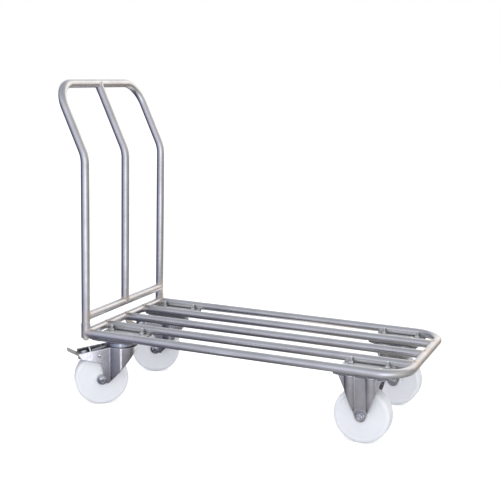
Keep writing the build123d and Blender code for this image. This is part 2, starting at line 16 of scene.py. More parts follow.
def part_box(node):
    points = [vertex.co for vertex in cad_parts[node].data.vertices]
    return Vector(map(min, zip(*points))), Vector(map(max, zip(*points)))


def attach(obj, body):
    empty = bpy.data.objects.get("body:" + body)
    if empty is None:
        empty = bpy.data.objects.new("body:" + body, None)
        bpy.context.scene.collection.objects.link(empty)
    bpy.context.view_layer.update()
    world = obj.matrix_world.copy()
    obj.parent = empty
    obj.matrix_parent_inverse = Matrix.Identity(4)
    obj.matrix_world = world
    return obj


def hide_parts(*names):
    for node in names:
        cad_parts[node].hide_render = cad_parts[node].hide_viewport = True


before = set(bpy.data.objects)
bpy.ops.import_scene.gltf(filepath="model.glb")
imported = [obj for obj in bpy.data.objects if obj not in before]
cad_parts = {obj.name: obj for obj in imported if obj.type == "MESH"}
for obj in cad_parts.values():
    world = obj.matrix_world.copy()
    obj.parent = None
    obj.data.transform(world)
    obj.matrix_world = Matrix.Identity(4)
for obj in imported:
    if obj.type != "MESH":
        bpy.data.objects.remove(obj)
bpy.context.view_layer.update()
MM = 0.001
scene = bpy.context.scene
scene.view_settings.view_transform = "Standard"

# %% [markdown]
# Sizes are read from the frame instead of typed in, so the dressing still fits when the
# model changes. A tube's box gives its radius and the line that it runs along.

# %% Measure the tubes
def middle(node):
    """The middle of a node's box."""
    low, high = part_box(node)
    return (low + high) / 2


def spread(node):
    """The size of a node's box."""
    low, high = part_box(node)
    return high - low


TUBE_R = spread("deck_inner_tube_middle").z / 2
DECK_Z = middle("deck_inner_tube_middle").z
SIDE_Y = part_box("deck_outer_tube")[1].y - TUBE_R
FRONT_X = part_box("deck_outer_tube")[1].x - TUBE_R
REAR_X = middle("deck_rear_cross_tube").x
BAR_PITCH = middle("deck_inner_tube_left").y
CROSSBAR_Z = middle("handle_crossbar").z
TOP_BAR_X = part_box("handle_hoop")[0].x + TUBE_R
TOP_BAR_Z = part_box("handle_hoop")[1].z - TUBE_R
SLEEVE_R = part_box("corner_sleeves")[1].y - SIDE_Y
PLATE_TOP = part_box("mounting_plate_front_right")[1].z
print(f"tube radius {TUBE_R / MM:.1f} mm, deck line {DECK_Z / MM:.1f} mm up")

# %% [markdown]
# The camera stands where the photographer stood: a little in front of the trolley's near
# side and above the deck, with a slightly tilted camera. Azimuth 0 would look along +Y.
# Its three directions go straight into its matrix, which keeps the small roll exact.

# %% Place the camera
CAMERA_PLACE = Vector((1.059796, -2.743476, 1.006486))
CAMERA_AZIMUTH = math.radians(22.19724)
CAMERA_DOWN = math.radians(10.23933)
CAMERA_ROLL = math.radians(1.40295)
CAMERA_LENS = 72.0085
SENSOR_WIDTH = 36

look = Vector((
    -math.sin(CAMERA_AZIMUTH) * math.cos(CAMERA_DOWN),
    math.cos(CAMERA_AZIMUTH) * math.cos(CAMERA_DOWN),
    -math.sin(CAMERA_DOWN),
))
level_right = Vector((math.cos(CAMERA_AZIMUTH), math.sin(CAMERA_AZIMUTH), 0))
level_up = level_right.cross(look)
camera_right = math.cos(CAMERA_ROLL) * level_right + math.sin(CAMERA_ROLL) * level_up
camera_up = math.cos(CAMERA_ROLL) * level_up - math.sin(CAMERA_ROLL) * level_right
camera = bpy.data.objects.new("camera", bpy.data.cameras.new("camera"))
camera.data.lens = CAMERA_LENS
camera.data.sensor_width = SENSOR_WIDTH
camera.matrix_world = Matrix((camera_right, camera_up, -look)).transposed().to_4x4()
camera.location = CAMERA_PLACE
scene.collection.objects.link(camera)
scene.camera = camera
print("camera looks along", tuple(round(value, 3) for value in look))

# %% [markdown]
# Shader nodes are laid out by code. This helper adds one node, sets its options and feeds
# its inputs, either with a value or with another node's output.

# %% A helper that adds a shader node
def add_node(tree, kind, inputs=None, **options):
    """Adds a node to a node tree and returns it."""
    node = tree.nodes.new(kind)
    for name, value in options.items():
        setattr(node, name, value)
    for name, value in (inputs or {}).items():
        if isinstance(value, bpy.types.NodeSocket):
            tree.links.new(value, node.inputs[name])
        else:
            node.inputs[name].default_value = value
    return node


print("node helper ready")

# %% [markdown]
# Most masks are sums of a few numbers and distances. Short names for the nodes that do sums
# let a recipe read like the sum that it is.

# %% Helpers for sums
def math_node(tree, operation, *values):
    """Adds a Math node and returns its result."""
    return add_node(tree, "ShaderNodeMath", dict(enumerate(values)), operation=operation).outputs[0]


def plus(tree, first, second):
    """The sum of two numbers."""
    return math_node(tree, "ADD", first, second)


def minus(tree, first, second):
    """The first number less the second."""
    return math_node(tree, "SUBTRACT", first, second)


def times(tree, first, second):
    """The product of two numbers."""
    return math_node(tree, "MULTIPLY", first, second)


def vector_node(tree, operation, *values):
    """Adds a Vector Math node and returns it."""
    return add_node(tree, "ShaderNodeVectorMath", dict(enumerate(values)), operation=operation)


def length_of(tree, **distances):
    """The length of a vector that is given by its X, Y and Z."""
    vector = add_node(tree, "ShaderNodeCombineXYZ", distances).outputs["Vector"]
    return vector_node(tree, "LENGTH", vector).outputs["Value"]


print("sum helpers ready")

# %% [markdown]
# A mask is a number from 0 to 1 that says where something shows. Map Range cuts one out of
# any measure, and a Mix node lets it choose between two colours.

# %% Helpers that shape masks and colours
def remap(tree, value, from_low, from_high, to_low, to_high):
    """Adds a Map Range node, clamped at both ends, and returns its result."""
    inputs = {
        "Value": value,
        "From Min": from_low,
        "From Max": from_high,
        "To Min": to_low,
        "To Max": to_high,
    }
    return add_node(tree, "ShaderNodeMapRange", inputs).outputs["Result"]


MIX_FACTOR = 0
MIX_FIRST = 6
MIX_SECOND = 7
MIX_RESULT = 2


def mix_colors(tree, factor, first, second):
    """Adds a Mix node for colours and returns its result."""
    inputs = {MIX_FACTOR: factor, MIX_FIRST: first, MIX_SECOND: second}
    node = add_node(tree, "ShaderNodeMix", inputs, data_type="RGBA")
    return node.outputs[MIX_RESULT]


print("mask helpers ready")

# %% [markdown]
# Noise keeps wear and dirt from looking ruled. It is read at the point's place in its own
# piece, so it stays on the piece when that moves. Relief that is too fine to model, such as
# belt grain, is a bump.

# %% Helpers for texture and relief
def object_place(tree):
    """The point that is shaded, in the piece's own coordinates."""
    return add_node(tree, "ShaderNodeTexCoord").outputs["Object"]


def true_direction(tree):
    """The way that the surface faces in the world, before any bump."""
    return add_node(tree, "ShaderNodeNewGeometry").outputs["Normal"]


def cloud_of(tree, place, scale, detail, roughness=0.5, distortion=0.0):
    """Adds a Noise texture and returns its value, which is 0.5 on average."""
    inputs = {
        "Vector": place,
        "Scale": scale,
        "Detail": detail,
        "Roughness": roughness,
        "Distortion": distortion,
    }
    return add_node(tree, "ShaderNodeTexNoise", inputs).outputs["Fac"]


def uneven_by(tree, place, scale, amount):
    """Noise about 0 that breaks up the outline of a mask."""
    cloud = cloud_of(tree, place, scale, detail=3.0)
    return times(tree, minus(tree, cloud, 0.5), amount)


def fine_bump(tree, height, strength, depth):
    """Adds a Bump node for a relief that is too fine to model."""
    inputs = {"Height": height, "Strength": strength, "Distance": depth}
    return add_node(tree, "ShaderNodeBump", inputs)


print("texture helpers ready")

# %% [markdown]
# An effect that several finishes share is a node group: built once, then placed in each
# material with its own values.

# %% A helper that starts a node group
SOCKET_KINDS = {float: "NodeSocketFloat", tuple: "NodeSocketVector"}


def start_group(name, inputs, outputs):
    """Makes a shader node group with named inputs and float outputs."""
    tree = bpy.data.node_groups.new(name, "ShaderNodeTree")
    for label, value in inputs.items():
        kind = SOCKET_KINDS[type(value)]
        socket = tree.interface.new_socket(label, in_out="INPUT", socket_type=kind)
        socket.default_value = value
    for label in outputs:
        tree.interface.new_socket(label, in_out="OUTPUT", socket_type="NodeSocketFloat")
    return tree, tree.nodes.new("NodeGroupInput").outputs, tree.nodes.new("NodeGroupOutput").inputs


def use_group(tree, group, inputs):
    """Places a node group in a material, sets its inputs and returns its outputs."""
    return add_node(tree, "ShaderNodeGroup", inputs, node_tree=group).outputs


print("group helpers ready")

# %% [markdown]
# Stainless tube and sheet are polished by belts, which leave very fine parallel lines. A
# picture of brushed steel would repeat and need unwrapping. A noise that is squeezed across
# the belt's direction and stretched along it looks the same and fits every piece. Stretch
# gives the number of noise cells per metre along X, Y and Z.

# %% Belt grain
GRAIN_TONES = (0.25, 0.75)


def make_belt_grain():
    """Fine parallel polishing lines."""
    tree, given, result = start_group("belt_grain", {"Stretch": (40.0, 900.0, 900.0)}, ["Tone"])
    squeezed = vector_node(tree, "MULTIPLY", object_place(tree), given["Stretch"]).outputs["Vector"]
    cloud = cloud_of(tree, squeezed, 1.0, detail=3.0)
    tree.links.new(remap(tree, cloud, *GRAIN_TONES, 0.0, 1.0), result["Tone"])
    return tree


belt_grain = make_belt_grain()
print("made", belt_grain.name)

# %% [markdown]
# Hands and loads leave soft, dull patches a few centimetres wide and some long thin rub
# marks. They are only masks, so that each finish decides how much duller a marked place is.
# The rub marks are the thin places where a finer noise crosses its own middle value.

# %% Handling marks
SMUDGE_TONES = (0.42, 0.7)
RUB_FINER = 9.0
RUB_WIDTH = 0.012


def make_handling_marks():
    """Soft smudges and thin rub marks."""
    tree, given, result = start_group("handling_marks", {"Size": 14.0}, ["Smudge", "Rub"])
    place = object_place(tree)
    soft = cloud_of(tree, place, given["Size"], detail=4.0, roughness=0.6)
    smudge = remap(tree, soft, *SMUDGE_TONES, 0.0, 1.0)
    finer = times(tree, given["Size"], RUB_FINER)
    streaks = cloud_of(tree, place, finer, detail=6.0, distortion=1.6)
    band = math_node(tree, "ABSOLUTE", minus(tree, streaks, 0.5))
    rub = remap(tree, band, 0.0, RUB_WIDTH, 1.0, 0.0)
    tree.links.new(smudge, result["Smudge"])
    tree.links.new(times(tree, rub, smudge), result["Rub"])
    return tree


handling_marks = make_handling_marks()
print("made", handling_marks.name)

# %% [markdown]
# Dust settles on what faces up. The mask follows the surface's own direction in the world,
# broken up by noise, so it stays on top from every side.

# %% Settled dust
DUST_SLOPE = 0.3
DUST_CLOUD = 45.0
DUST_PATCHES = (0.35, 0.7)
DUST_THINNEST = 0.2


def make_settled_dust():
    """A thin film of dust on upward faces."""
    tree, given, result = start_group("settled_dust", {"Amount": 0.3}, ["Film"])
    up = add_node(tree, "ShaderNodeSeparateXYZ", {"Vector": true_direction(tree)}).outputs["Z"]
    cloud = cloud_of(tree, object_place(tree), DUST_CLOUD, detail=5.0)
    patches = remap(tree, cloud, *DUST_PATCHES, DUST_THINNEST, 1.0)
    film = times(tree, remap(tree, up, DUST_SLOPE, 1.0, 0.0, 1.0), patches)
    tree.links.new(times(tree, film, given["Amount"]), result["Film"])
    return tree


settled_dust = make_settled_dust()
print("made", settled_dust.name)

# %% [markdown]
# The edges of pressed sheet get a painted highlight, the bright line that a rounded edge
# catches. They could be picked by hand and painted, but a Bevel node finds them: it bends
# the surface's direction near an edge, so where that differs from the true direction,
# there is an edge.

# %% Painted edge highlights
BEVEL_SAMPLES = 6
EDGE_ALIKE = (0.95, 0.999)


def softened(tree, width):
    """The surface's direction, bent as if its edges were rounded."""
    node = add_node(tree, "ShaderNodeBevel", {"Radius": width}, samples=BEVEL_SAMPLES)
    return node.outputs["Normal"]


def make_edge_highlights():
    """A mask that is 1 along sharp edges, where a highlight is painted."""
    tree, given, result = start_group("edge_highlights", {"Width": 0.001}, ["Worn"])
    soft = softened(tree, given["Width"])
    same = vector_node(tree, "DOT_PRODUCT", soft, true_direction(tree)).outputs["Value"]
    tree.links.new(remap(tree, same, *EDGE_ALIKE, 1.0, 0.0), result["Worn"])
    return tree


edge_highlights = make_edge_highlights()
print("made", edge_highlights.name)

# %% [markdown]
# Painted shade darkens the colour where a surface is shut in by others: round nuts, under
# plates and in the folds of the sheet, where real shade falls. Ambient occlusion measures how
# shut in a point is, and noise keeps the painted shade from ending in a clean line.

# %% Painted shade in corners
CORNER_OPENNESS = (0.5, 0.92)
CORNER_SHADE_CLOUD = 90.0
CORNER_SHADE_UNEVEN = 0.5


def make_corner_shade():
    """A patchy mask that is 1 in tight corners, where shade is painted."""
    tree, given, result = start_group("corner_shade", {"Reach": 0.01}, ["Grime"])
    openness = add_node(tree, "ShaderNodeAmbientOcclusion", {"Distance": given["Reach"]}, samples=6)
    uneven = uneven_by(tree, object_place(tree), CORNER_SHADE_CLOUD, CORNER_SHADE_UNEVEN)
    patchy = plus(tree, openness.outputs["AO"], uneven)
    tree.links.new(remap(tree, patchy, *CORNER_OPENNESS, 1.0, 0.0), result["Grime"])
    return tree


corner_shade = make_corner_shade()
print("made", corner_shade.name)

# %% [markdown]
# Heat leaves a straw-coloured, slightly matt ring round each welded joint. The joints stand
# in rows across the trolley, so one row is told by how far it is from the middle, the
# distance between its joints and its height. The mask follows the nearest joint: wrapping
# a place along the row makes one ring serve them all.

# %% Heat marks at the welds
HEAT_RING = (0.017, 0.030)
HEAT_CLOUD = 130.0
HEAT_UNEVEN = 0.022


def make_heat_marks():
    """A patchy mask round every joint of one row."""
    sockets = {"Out": 0.5, "Apart": 0.1, "Height": 0.2}
    tree, given, result = start_group("heat_marks", sockets, ["Heat"])
    place = object_place(tree)
    parts = add_node(tree, "ShaderNodeSeparateXYZ", {"Vector": place}).outputs
    out = minus(tree, math_node(tree, "ABSOLUTE", parts["X"]), given["Out"])
    half = times(tree, given["Apart"], 0.5)
    near = math_node(tree, "WRAP", parts["Y"], half, times(tree, half, -1.0))
    high = minus(tree, parts["Z"], given["Height"])
    far = length_of(tree, X=out, Y=near, Z=high)
    patchy = plus(tree, far, uneven_by(tree, place, HEAT_CLOUD, HEAT_UNEVEN))
    tree.links.new(remap(tree, patchy, *HEAT_RING, 1.0, 0.0), result["Heat"])
    return tree


heat_marks = make_heat_marks()
print("made", heat_marks.name)

# %% [markdown]
# Every steel finish is the same recipe with other values: a metal colour that smudges and
# dust dull a little, a roughness that the belt grain varies, and a very fine bump. Sheet
# and fasteners also get a painted edge highlight and painted corner shade, welded tubes get
# heat marks, and the mounting plates' upright edges get painted shade. A Bevel node feeds
# the bump too, so that an edge catches the light as a rounded one does.

# %% Layers that steel finishes share
DUST_COLOR = (0.52, 0.5, 0.47, 1)
# Painted highlight on sharp edges.
EDGE_HIGHLIGHT_COLOR = (0.90, 0.90, 0.92, 1)
HEAT_COLOR = (0.82, 0.74, 0.66, 1)
# Painted shade on the mounting plates' upright edges, which lie under the tubes.
PLATE_EDGE_SHADE_COLOR = (0.16, 0.16, 0.175, 1)
# Painted shade in corners that other parts shut in.
CORNER_SHADE_COLOR = (0.07, 0.07, 0.08, 1)
PLATE_EDGE_SLOPES = (0.2, 0.6)


def new_finish(name):
    """A new material, its node tree and its Principled shader."""
    material = bpy.data.materials.new(name)
    material.use_nodes = True
    return material, material.node_tree, material.node_tree.nodes["Principled BSDF"]


def feed_shader(tree, shader, color, rough, relief):
    """Feeds the shader with what changes over the surface."""
    tree.links.new(color, shader.inputs["Base Color"])
    tree.links.new(rough, shader.inputs["Roughness"])
    tree.links.new(relief.outputs["Normal"], shader.inputs["Normal"])


def tint_and_dull(tree, mask, toned, rough, color, strength, dulling):
    """A colour and a roughness, tinted and dulled where a mask says so."""
    toned = mix_colors(tree, times(tree, mask, strength), toned, color)
    return toned, plus(tree, rough, times(tree, mask, dulling))


def shade_plate_edges(tree, toned, strength):
    """A colour that turns dark on upright faces: painted shade on a plate's edges under the tubes.
    """
    slope = add_node(tree, "ShaderNodeSeparateXYZ", {"Vector": true_direction(tree)}).outputs["Z"]
    upright = remap(tree, math_node(tree, "ABSOLUTE", slope), *PLATE_EDGE_SLOPES, strength, 0.0)
    return mix_colors(tree, upright, toned, PLATE_EDGE_SHADE_COLOR)


print("finish layers ready")

# %% [markdown]
# The strengths of the layers are the same for all steel: how far each one pulls the colour,
# and how much roughness it adds where it covers fully.

# %% Strengths of the layers
SMUDGE_SIZE = 14.0
GRAIN_TINT = 0.25
SMUDGE_DULLING = 0.07
RUB_DULLING = 0.12
DUST_DULLING = 0.4
CORNER_DULLING = 0.25
HEAT_STRENGTH = 0.7
HEAT_DULLING = 0.12
GRAIN_DEPTH = 0.04 * MM
print("dust adds", DUST_DULLING, "to the roughness")

# %% [markdown]
# The recipe lays the layers one over another, the lowest first, and ends with the painted
# highlight on the edges.

# %% A recipe for polished steel
def steel(name, color, dull_color, roughness, stretch, grain=0.10, bump=0.15, dust=0.15,
          edge=0.0, joints=None, painted_shade=0.0, reach=0.011, plate_edge_shade=0.0, metallic=1.0):
    """Makes one polished metal."""
    material, tree, shader = new_finish(name)
    lines = use_group(tree, belt_grain, {"Stretch": stretch})["Tone"]
    marks = use_group(tree, handling_marks, {"Size": SMUDGE_SIZE})
    film = use_group(tree, settled_dust, {"Amount": dust})["Film"]
    toned = mix_colors(tree, marks["Smudge"], color, dull_color)
    toned = mix_colors(tree, times(tree, lines, GRAIN_TINT), toned, dull_color)
    toned = mix_colors(tree, film, toned, DUST_COLOR)
    rough = remap(tree, lines, 0.0, 1.0, roughness - grain / 2, roughness + grain / 2)
    for mask, dulling in (
        (marks["Smudge"], SMUDGE_DULLING),
        (marks["Rub"], RUB_DULLING),
        (film, DUST_DULLING),
    ):
        rough = plus(tree, rough, times(tree, mask, dulling))
    relief = fine_bump(tree, lines, bump, GRAIN_DEPTH)
    # Painted shade: upright faces of the mounting plates, which lie under the tubes, turn dark.
    if plate_edge_shade:
        toned = shade_plate_edges(tree, toned, plate_edge_shade)
    # Painted shade: corners shut in by other parts turn dark and a little rougher.
    if painted_shade:
        corners = use_group(tree, corner_shade, {"Reach": reach})["Grime"]
        toned, rough = tint_and_dull(tree, corners, toned, rough, CORNER_SHADE_COLOR, painted_shade, CORNER_DULLING)
    if joints:
        heat = use_group(tree, heat_marks, joints)["Heat"]
        toned, rough = tint_and_dull(tree, heat, toned, rough, HEAT_COLOR, HEAT_STRENGTH, HEAT_DULLING)
    # Painted highlight: sharp edges turn pale, as a rounded edge that catches the light would.
    if edge:
        edge_lit = use_group(tree, edge_highlights, {"Width": edge})["Worn"]
        toned = mix_colors(tree, edge_lit, toned, EDGE_HIGHLIGHT_COLOR)
        tree.links.new(softened(tree, edge), relief.inputs["Normal"])
    feed_shader(tree, shader, toned, rough, relief)
    shader.inputs["Metallic"].default_value = metallic
    return material


print("steel recipe ready")

# %% [markdown]
# The tubes share one colour and differ in the way that their grain runs. Pressed sheet is
# a little darker, the mounting plates are pale and matt, and the fasteners are brightest.

# %% Tube finishes
LENGTHWISE = (30.0, 1400.0, 1400.0)
CROSSWISE = (1400.0, 30.0, 1400.0)
UPRIGHT = (1400.0, 1400.0, 30.0)
ALL_WAYS = (700.0, 700.0, 700.0)
TUBE_COLOR = (0.72, 0.715, 0.725, 1)
TUBE_DULL = (0.62, 0.615, 0.62, 1)
DECK_JOINTS = {"Out": FRONT_X, "Apart": BAR_PITCH, "Height": DECK_Z}
HANDLE_JOINTS = {"Out": -REAR_X, "Apart": SIDE_Y, "Height": CROSSBAR_Z}


def tube_steel(name, stretch, joints, roughness=0.27):
    """Makes the finish of tubes whose grain runs one way."""
    return steel(name, TUBE_COLOR, TUBE_DULL, roughness, stretch, joints=joints)


tube_along = tube_steel("tube_lengthwise", LENGTHWISE, DECK_JOINTS)
tube_across = tube_steel("tube_crosswise", CROSSWISE, DECK_JOINTS)
crossbar_steel = tube_steel("crossbar_tube", CROSSWISE, HANDLE_JOINTS)
tube_upright = tube_steel("tube_upright", UPRIGHT, HANDLE_JOINTS, roughness=0.25)
sleeve_steel = tube_steel("sleeve_tube", UPRIGHT, DECK_JOINTS)
print("tube finishes ready")

# %% Sheet, fastener and weld finishes
SHEET_COLOR = (0.66, 0.65, 0.665, 1)
SHEET_DULL = (0.47, 0.455, 0.45, 1)

sheet_steel = steel("pressed_sheet", SHEET_COLOR, SHEET_DULL, roughness=0.18, stretch=UPRIGHT,
                    grain=0.12, edge=0.003, painted_shade=0.85, reach=0.02)
plate_steel = steel("mounting_plate_steel", (0.90, 0.93, 0.92, 1), (0.78, 0.80, 0.79, 1),
                    roughness=0.42, stretch=LENGTHWISE, edge=0.0005, painted_shade=0.3, metallic=0.7,
                    plate_edge_shade=0.9)
bright_steel = steel("bright_fastener", (0.92, 0.92, 0.93, 1), (0.74, 0.73, 0.73, 1),
                     roughness=0.10, stretch=ALL_WAYS, grain=0.04, dust=0.03, edge=0.0004,
                     painted_shade=0.2)
axle_steel = steel("axle_fastener", (0.80, 0.82, 0.87, 1), (0.62, 0.63, 0.67, 1),
                   roughness=0.08, stretch=ALL_WAYS, grain=0.04, dust=0.03, edge=0.0012,
                   painted_shade=0.97, reach=0.03)
ring_steel = steel("race_ring_steel", (0.60, 0.66, 0.76, 1), SHEET_COLOR,
                   roughness=0.25, stretch=ALL_WAYS, dust=0.05)
spring_steel = steel("spring_strip", (0.34, 0.37, 0.40, 1), (0.24, 0.25, 0.26, 1),
                     roughness=0.28, stretch=ALL_WAYS, dust=0.1)
shoe_steel = steel("shoe_block", (0.45, 0.44, 0.44, 1), SHEET_DULL,
                   roughness=0.42, stretch=ALL_WAYS, dust=0.1)
screw_steel = steel("screw_head", (0.85, 0.92, 1.0, 1), (0.72, 0.77, 0.86, 1),
                    roughness=0.35, stretch=ALL_WAYS, dust=0.0)
weld_metal = steel("weld_bead", (0.84, 0.81, 0.79, 1), (0.66, 0.60, 0.56, 1),
                   roughness=0.22, stretch=ALL_WAYS, dust=0.0)
print("sheet, fastener and weld finishes ready")

# %% [markdown]
# The wheels are solid nylon: milky, faintly bluish and a little see-through, so light
# spreads under the surface. Moulding leaves it cloudy, which the smudge mask gives, and
# its skin is very slightly grained.

# %% Moulded nylon and plastic
CLOUD_SIZE = 9.0
CLOUD_DULLING = 0.08
SKIN_GRAIN = (1500.0, 1500.0, 1500.0)
SKIN_BUMP = 0.2
SKIN_DEPTH = 0.05 * MM
MILKY_DEPTH = 8 * MM
MILKY_SPREAD = (1.0, 1.0, 1.1)
NYLON_IOR = 1.53


def moulded(name, color, cloud_color, roughness, milky):
    """Makes one moulded plastic."""
    material, tree, shader = new_finish(name)
    clouds = use_group(tree, handling_marks, {"Size": CLOUD_SIZE})["Smudge"]
    grain = use_group(tree, belt_grain, {"Stretch": SKIN_GRAIN})["Tone"]
    toned = mix_colors(tree, clouds, color, cloud_color)
    rough = plus(tree, times(tree, clouds, CLOUD_DULLING), roughness)
    feed_shader(tree, shader, toned, rough, fine_bump(tree, grain, SKIN_BUMP, SKIN_DEPTH))
    shader.inputs["Subsurface Weight"].default_value = milky
    shader.inputs["Subsurface Radius"].default_value = MILKY_SPREAD
    shader.inputs["Subsurface Scale"].default_value = MILKY_DEPTH
    shader.inputs["IOR"].default_value = NYLON_IOR
    return material


nylon = moulded("wheel_nylon", (0.87, 0.893, 0.95, 1), (0.835, 0.86, 0.92, 1),
                roughness=0.36, milky=0.30)
bush_plastic = moulded("bush_plastic", (0.62, 0.64, 0.66, 1), (0.55, 0.57, 0.60, 1),
                       roughness=0.45, milky=0.0)
cap_plastic = moulded("cap_plastic", (0.74, 0.73, 0.70, 1), (0.66, 0.65, 0.62, 1),
                      roughness=0.42, milky=0.1)
print("plastic finishes ready")

# %% [markdown]
# Four castors carry the deck. A front one stands fixed and trails straight back, while a
# rear one rests at some turn of its king pin, so its direction is measured from its wheel.

# %% Castor directions
CASTORS = [f"{end}_{side}" for end in ("front", "rear") for side in ("right", "left")]
REAR_CASTORS = [name for name in CASTORS if name.startswith("rear")]


def trail_of(castor):
    """The level direction from a castor's plate towards its wheel."""
    if castor not in REAR_CASTORS:
        return Vector((-1, 0, 0))
    back = middle(f"{castor}_wheel") - middle(f"{castor}_king_pin")
    return Vector((back.x, back.y, 0)).normalized()


for castor in CASTORS:
    print(castor, "trails along", tuple(round(value, 3) for value in trail_of(castor)))

# %% [markdown]
# Between the fork's arms the pedal lever gets painted shade, where it lies in the arms'
# shadow, and its tongue past the arms is bare sheet. The tongue begins where the arms end,
# so the mask asks how far a point lies along the fork, which turns with the castor because
# it is the lever's own place.

# %% Painted shade on the pedal levers
ARM_REACH = 126 * MM
# Painted shade between the fork's arms.
ARM_SHADE_COLOR = (0.035, 0.045, 0.05, 1)
ARM_SHADE_FADE = 4 * MM
ARM_SHADE_COVER = 0.9


def lever_finish(castor):
    """Bare sheet on the tongue and painted shade between the arms."""
    material = steel(f"{castor}_lever_sheet", (0.30, 0.27, 0.23, 1), (0.22, 0.19, 0.16, 1),
                     roughness=0.33, stretch=ALL_WAYS, dust=0.05, edge=0.0004)
    tree = material.node_tree
    color = tree.nodes["Principled BSDF"].inputs["Base Color"]
    bare = color.links[0].from_socket
    trail = trail_of(castor)
    start = middle(f"{castor}_king_pin") + ARM_REACH * trail
    gap = vector_node(tree, "SUBTRACT", object_place(tree), tuple(start)).outputs["Vector"]
    along = vector_node(tree, "DOT_PRODUCT", gap, tuple(trail)).outputs["Value"]
    # Painted shade between the arms; the tongue past them stays bare.
    arm_shade = remap(tree, along, -ARM_SHADE_FADE, ARM_SHADE_FADE, ARM_SHADE_COVER, 0.0)
    tree.links.new(mix_colors(tree, arm_shade, bare, ARM_SHADE_COLOR), color)
    return material


lever_finishes = {f"{castor}_brake_lever": lever_finish(castor) for castor in REAR_CASTORS}
print("lever finishes:", len(lever_finishes))

# %% [markdown]
# Tubes get their finish by the way they run, and everything else by the last words of its
# name, so that the four castors need no list of their own.

# %% Choose the finishes
NODE_FINISHES = {
    **lever_finishes,
    "deck_outer_tube": tube_along,
    "deck_rear_cross_tube": tube_across,
    "handle_crossbar": crossbar_steel,
    "handle_hoop": tube_upright,
    "handle_middle_upright": tube_upright,
    "corner_sleeves": sleeve_steel,
    "foot_caps": cap_plastic,
}
START_FINISHES = {
    "deck_inner_tube": tube_along,
    "mounting_plate": plate_steel,
}
BRIGHT_ENDINGS = (
    "_bolts", "_washers", "_nuts", "_axle_bolt", "_axle_nut", "_rivets", "_king_pin",
    "_balls", "_arm_stay", "_spacer",
)
ENDING_FINISHES = {
    **{ending: bright_steel for ending in BRIGHT_ENDINGS},
    "_bracket": sheet_steel,
    "_fork": sheet_steel,
    "_top_plate": sheet_steel,
    "_dust_ring": ring_steel,
    "_leaf_spring": spring_steel,
    "_brake_shoe": shoe_steel,
    "_wheel": nylon,
    "_bush": bush_plastic,
}


def finish_for(node):
    """The material for a node of the model."""
    if node in NODE_FINISHES:
        return NODE_FINISHES[node]
    for start, finish in START_FINISHES.items():
        if node.startswith(start):
            return finish
    return next(finish for end, finish in ENDING_FINISHES.items() if node.endswith(end))


print("the deck's cross tube gets", finish_for("deck_rear_cross_tube").name)

# %% [markdown]
# Now each node of the model gets its finish. The mesh stays as it is, and only its material
# changes.

# %% Finish the nodes of the model
for name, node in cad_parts.items():
    node.data.materials.clear()
    node.data.materials.append(finish_for(name))
print("finished", len(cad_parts), "nodes")

# %% [markdown]
# The rigid model's fasteners are plain prisms and rods. Real ones have turned-down corners
# and a thread, so each is built again from rings of points round an axis. A skin of faces
# joins ring to ring, and ends flat or, for a nut, closes on itself round the bore. Cutting
# these shapes with Booleans would be slower and leave ragged faces.

# %% Helpers for turned shapes
STEPS = 36


def at_turn(value, turn):
    """A number as it is, or what a function gives for an angle."""
    return value(turn) if callable(value) else value


def ring(radius, height):
    """Points round the Z axis; radius and height may each follow the angle."""
    points = []
    for step in range(STEPS):
        turn = 2 * math.pi * step / STEPS
        out = at_turn(radius, turn)
        points.append(Vector((out * math.cos(turn), out * math.sin(turn), at_turn(height, turn))))
    return points


def skin(rings, loop=False):
    """The points and faces of a skin over rings, with flat ends or closed into a loop."""
    count = len(rings[0])
    points = [point for points in rings for point in points]
    faces = []
    for row in range(len(rings) if loop else len(rings) - 1):
        here = row * count
        there = (row + 1) % len(rings) * count
        for step in range(count):
            after = (step + 1) % count
            faces.append((here + step, here + after, there + after, there + step))
    if not loop:
        faces.append(range(count))
        faces.append(range(len(points) - count, len(points)))
    return points, faces


def placed(shape, matrix):
    """A shape moved by a matrix."""
    points, faces = shape
    return [matrix @ point for point in points], faces


print("turning helpers ready")

# %% [markdown]
# Every piece of this lesson is one mesh that rides on a body of the model, so that it moves
# with its castor or pedal. Edges that turn by more than a set angle stay sharp.

# %% A helper that makes a piece
SHARP_ANGLE = math.radians(32)


def add_piece(name, shapes, body, finish):
    """Joins shapes into one mesh that rides on a body of the model."""
    points = []
    faces = []
    for shape_points, shape_faces in shapes:
        start = len(points)
        points += shape_points
        faces += [[start + index for index in face] for face in shape_faces]
    mesh = bpy.data.meshes.new(name)
    mesh.from_pydata(points, [], faces)
    whole = bmesh.new()
    whole.from_mesh(mesh)
    bmesh.ops.recalc_face_normals(whole, faces=whole.faces)
    whole.to_mesh(mesh)
    whole.free()
    mesh.shade_smooth()
    mesh.set_sharp_from_angle(angle=SHARP_ANGLE)
    mesh.materials.append(finish)
    piece = bpy.data.objects.new(name, mesh)
    scene.collection.objects.link(piece)
    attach(piece, body)
    print(f"{name}: {len(faces)} faces on {body}")
    return piece


print("sharp above", round(math.degrees(SHARP_ANGLE)), "degrees")

# %% [markdown]
# A hexagon's corners are turned down by a cone, which leaves the round arcs that every bolt
# head shows. So the edge's height follows its radius.

# %% Helpers for hexagons
CORNER_TURN = math.pi / 3
CHAMFER = math.tan(math.radians(30))
FACE_SHARE = 0.95


def hexagon(across_flats):
    """A function that gives a hexagon's radius at an angle, with a corner at 0."""
    def radius(turn):
        from_flat = turn % CORNER_TURN - CORNER_TURN / 2
        return across_flats / 2 / math.cos(from_flat)
    return radius


def turned_down(across_flats, height, away):
    """A function that gives the height of a hexagon's edge under its chamfer."""
    radius = hexagon(across_flats)
    face = FACE_SHARE * across_flats / 2
    return lambda turn: height + away * CHAMFER * (radius(turn) - face)


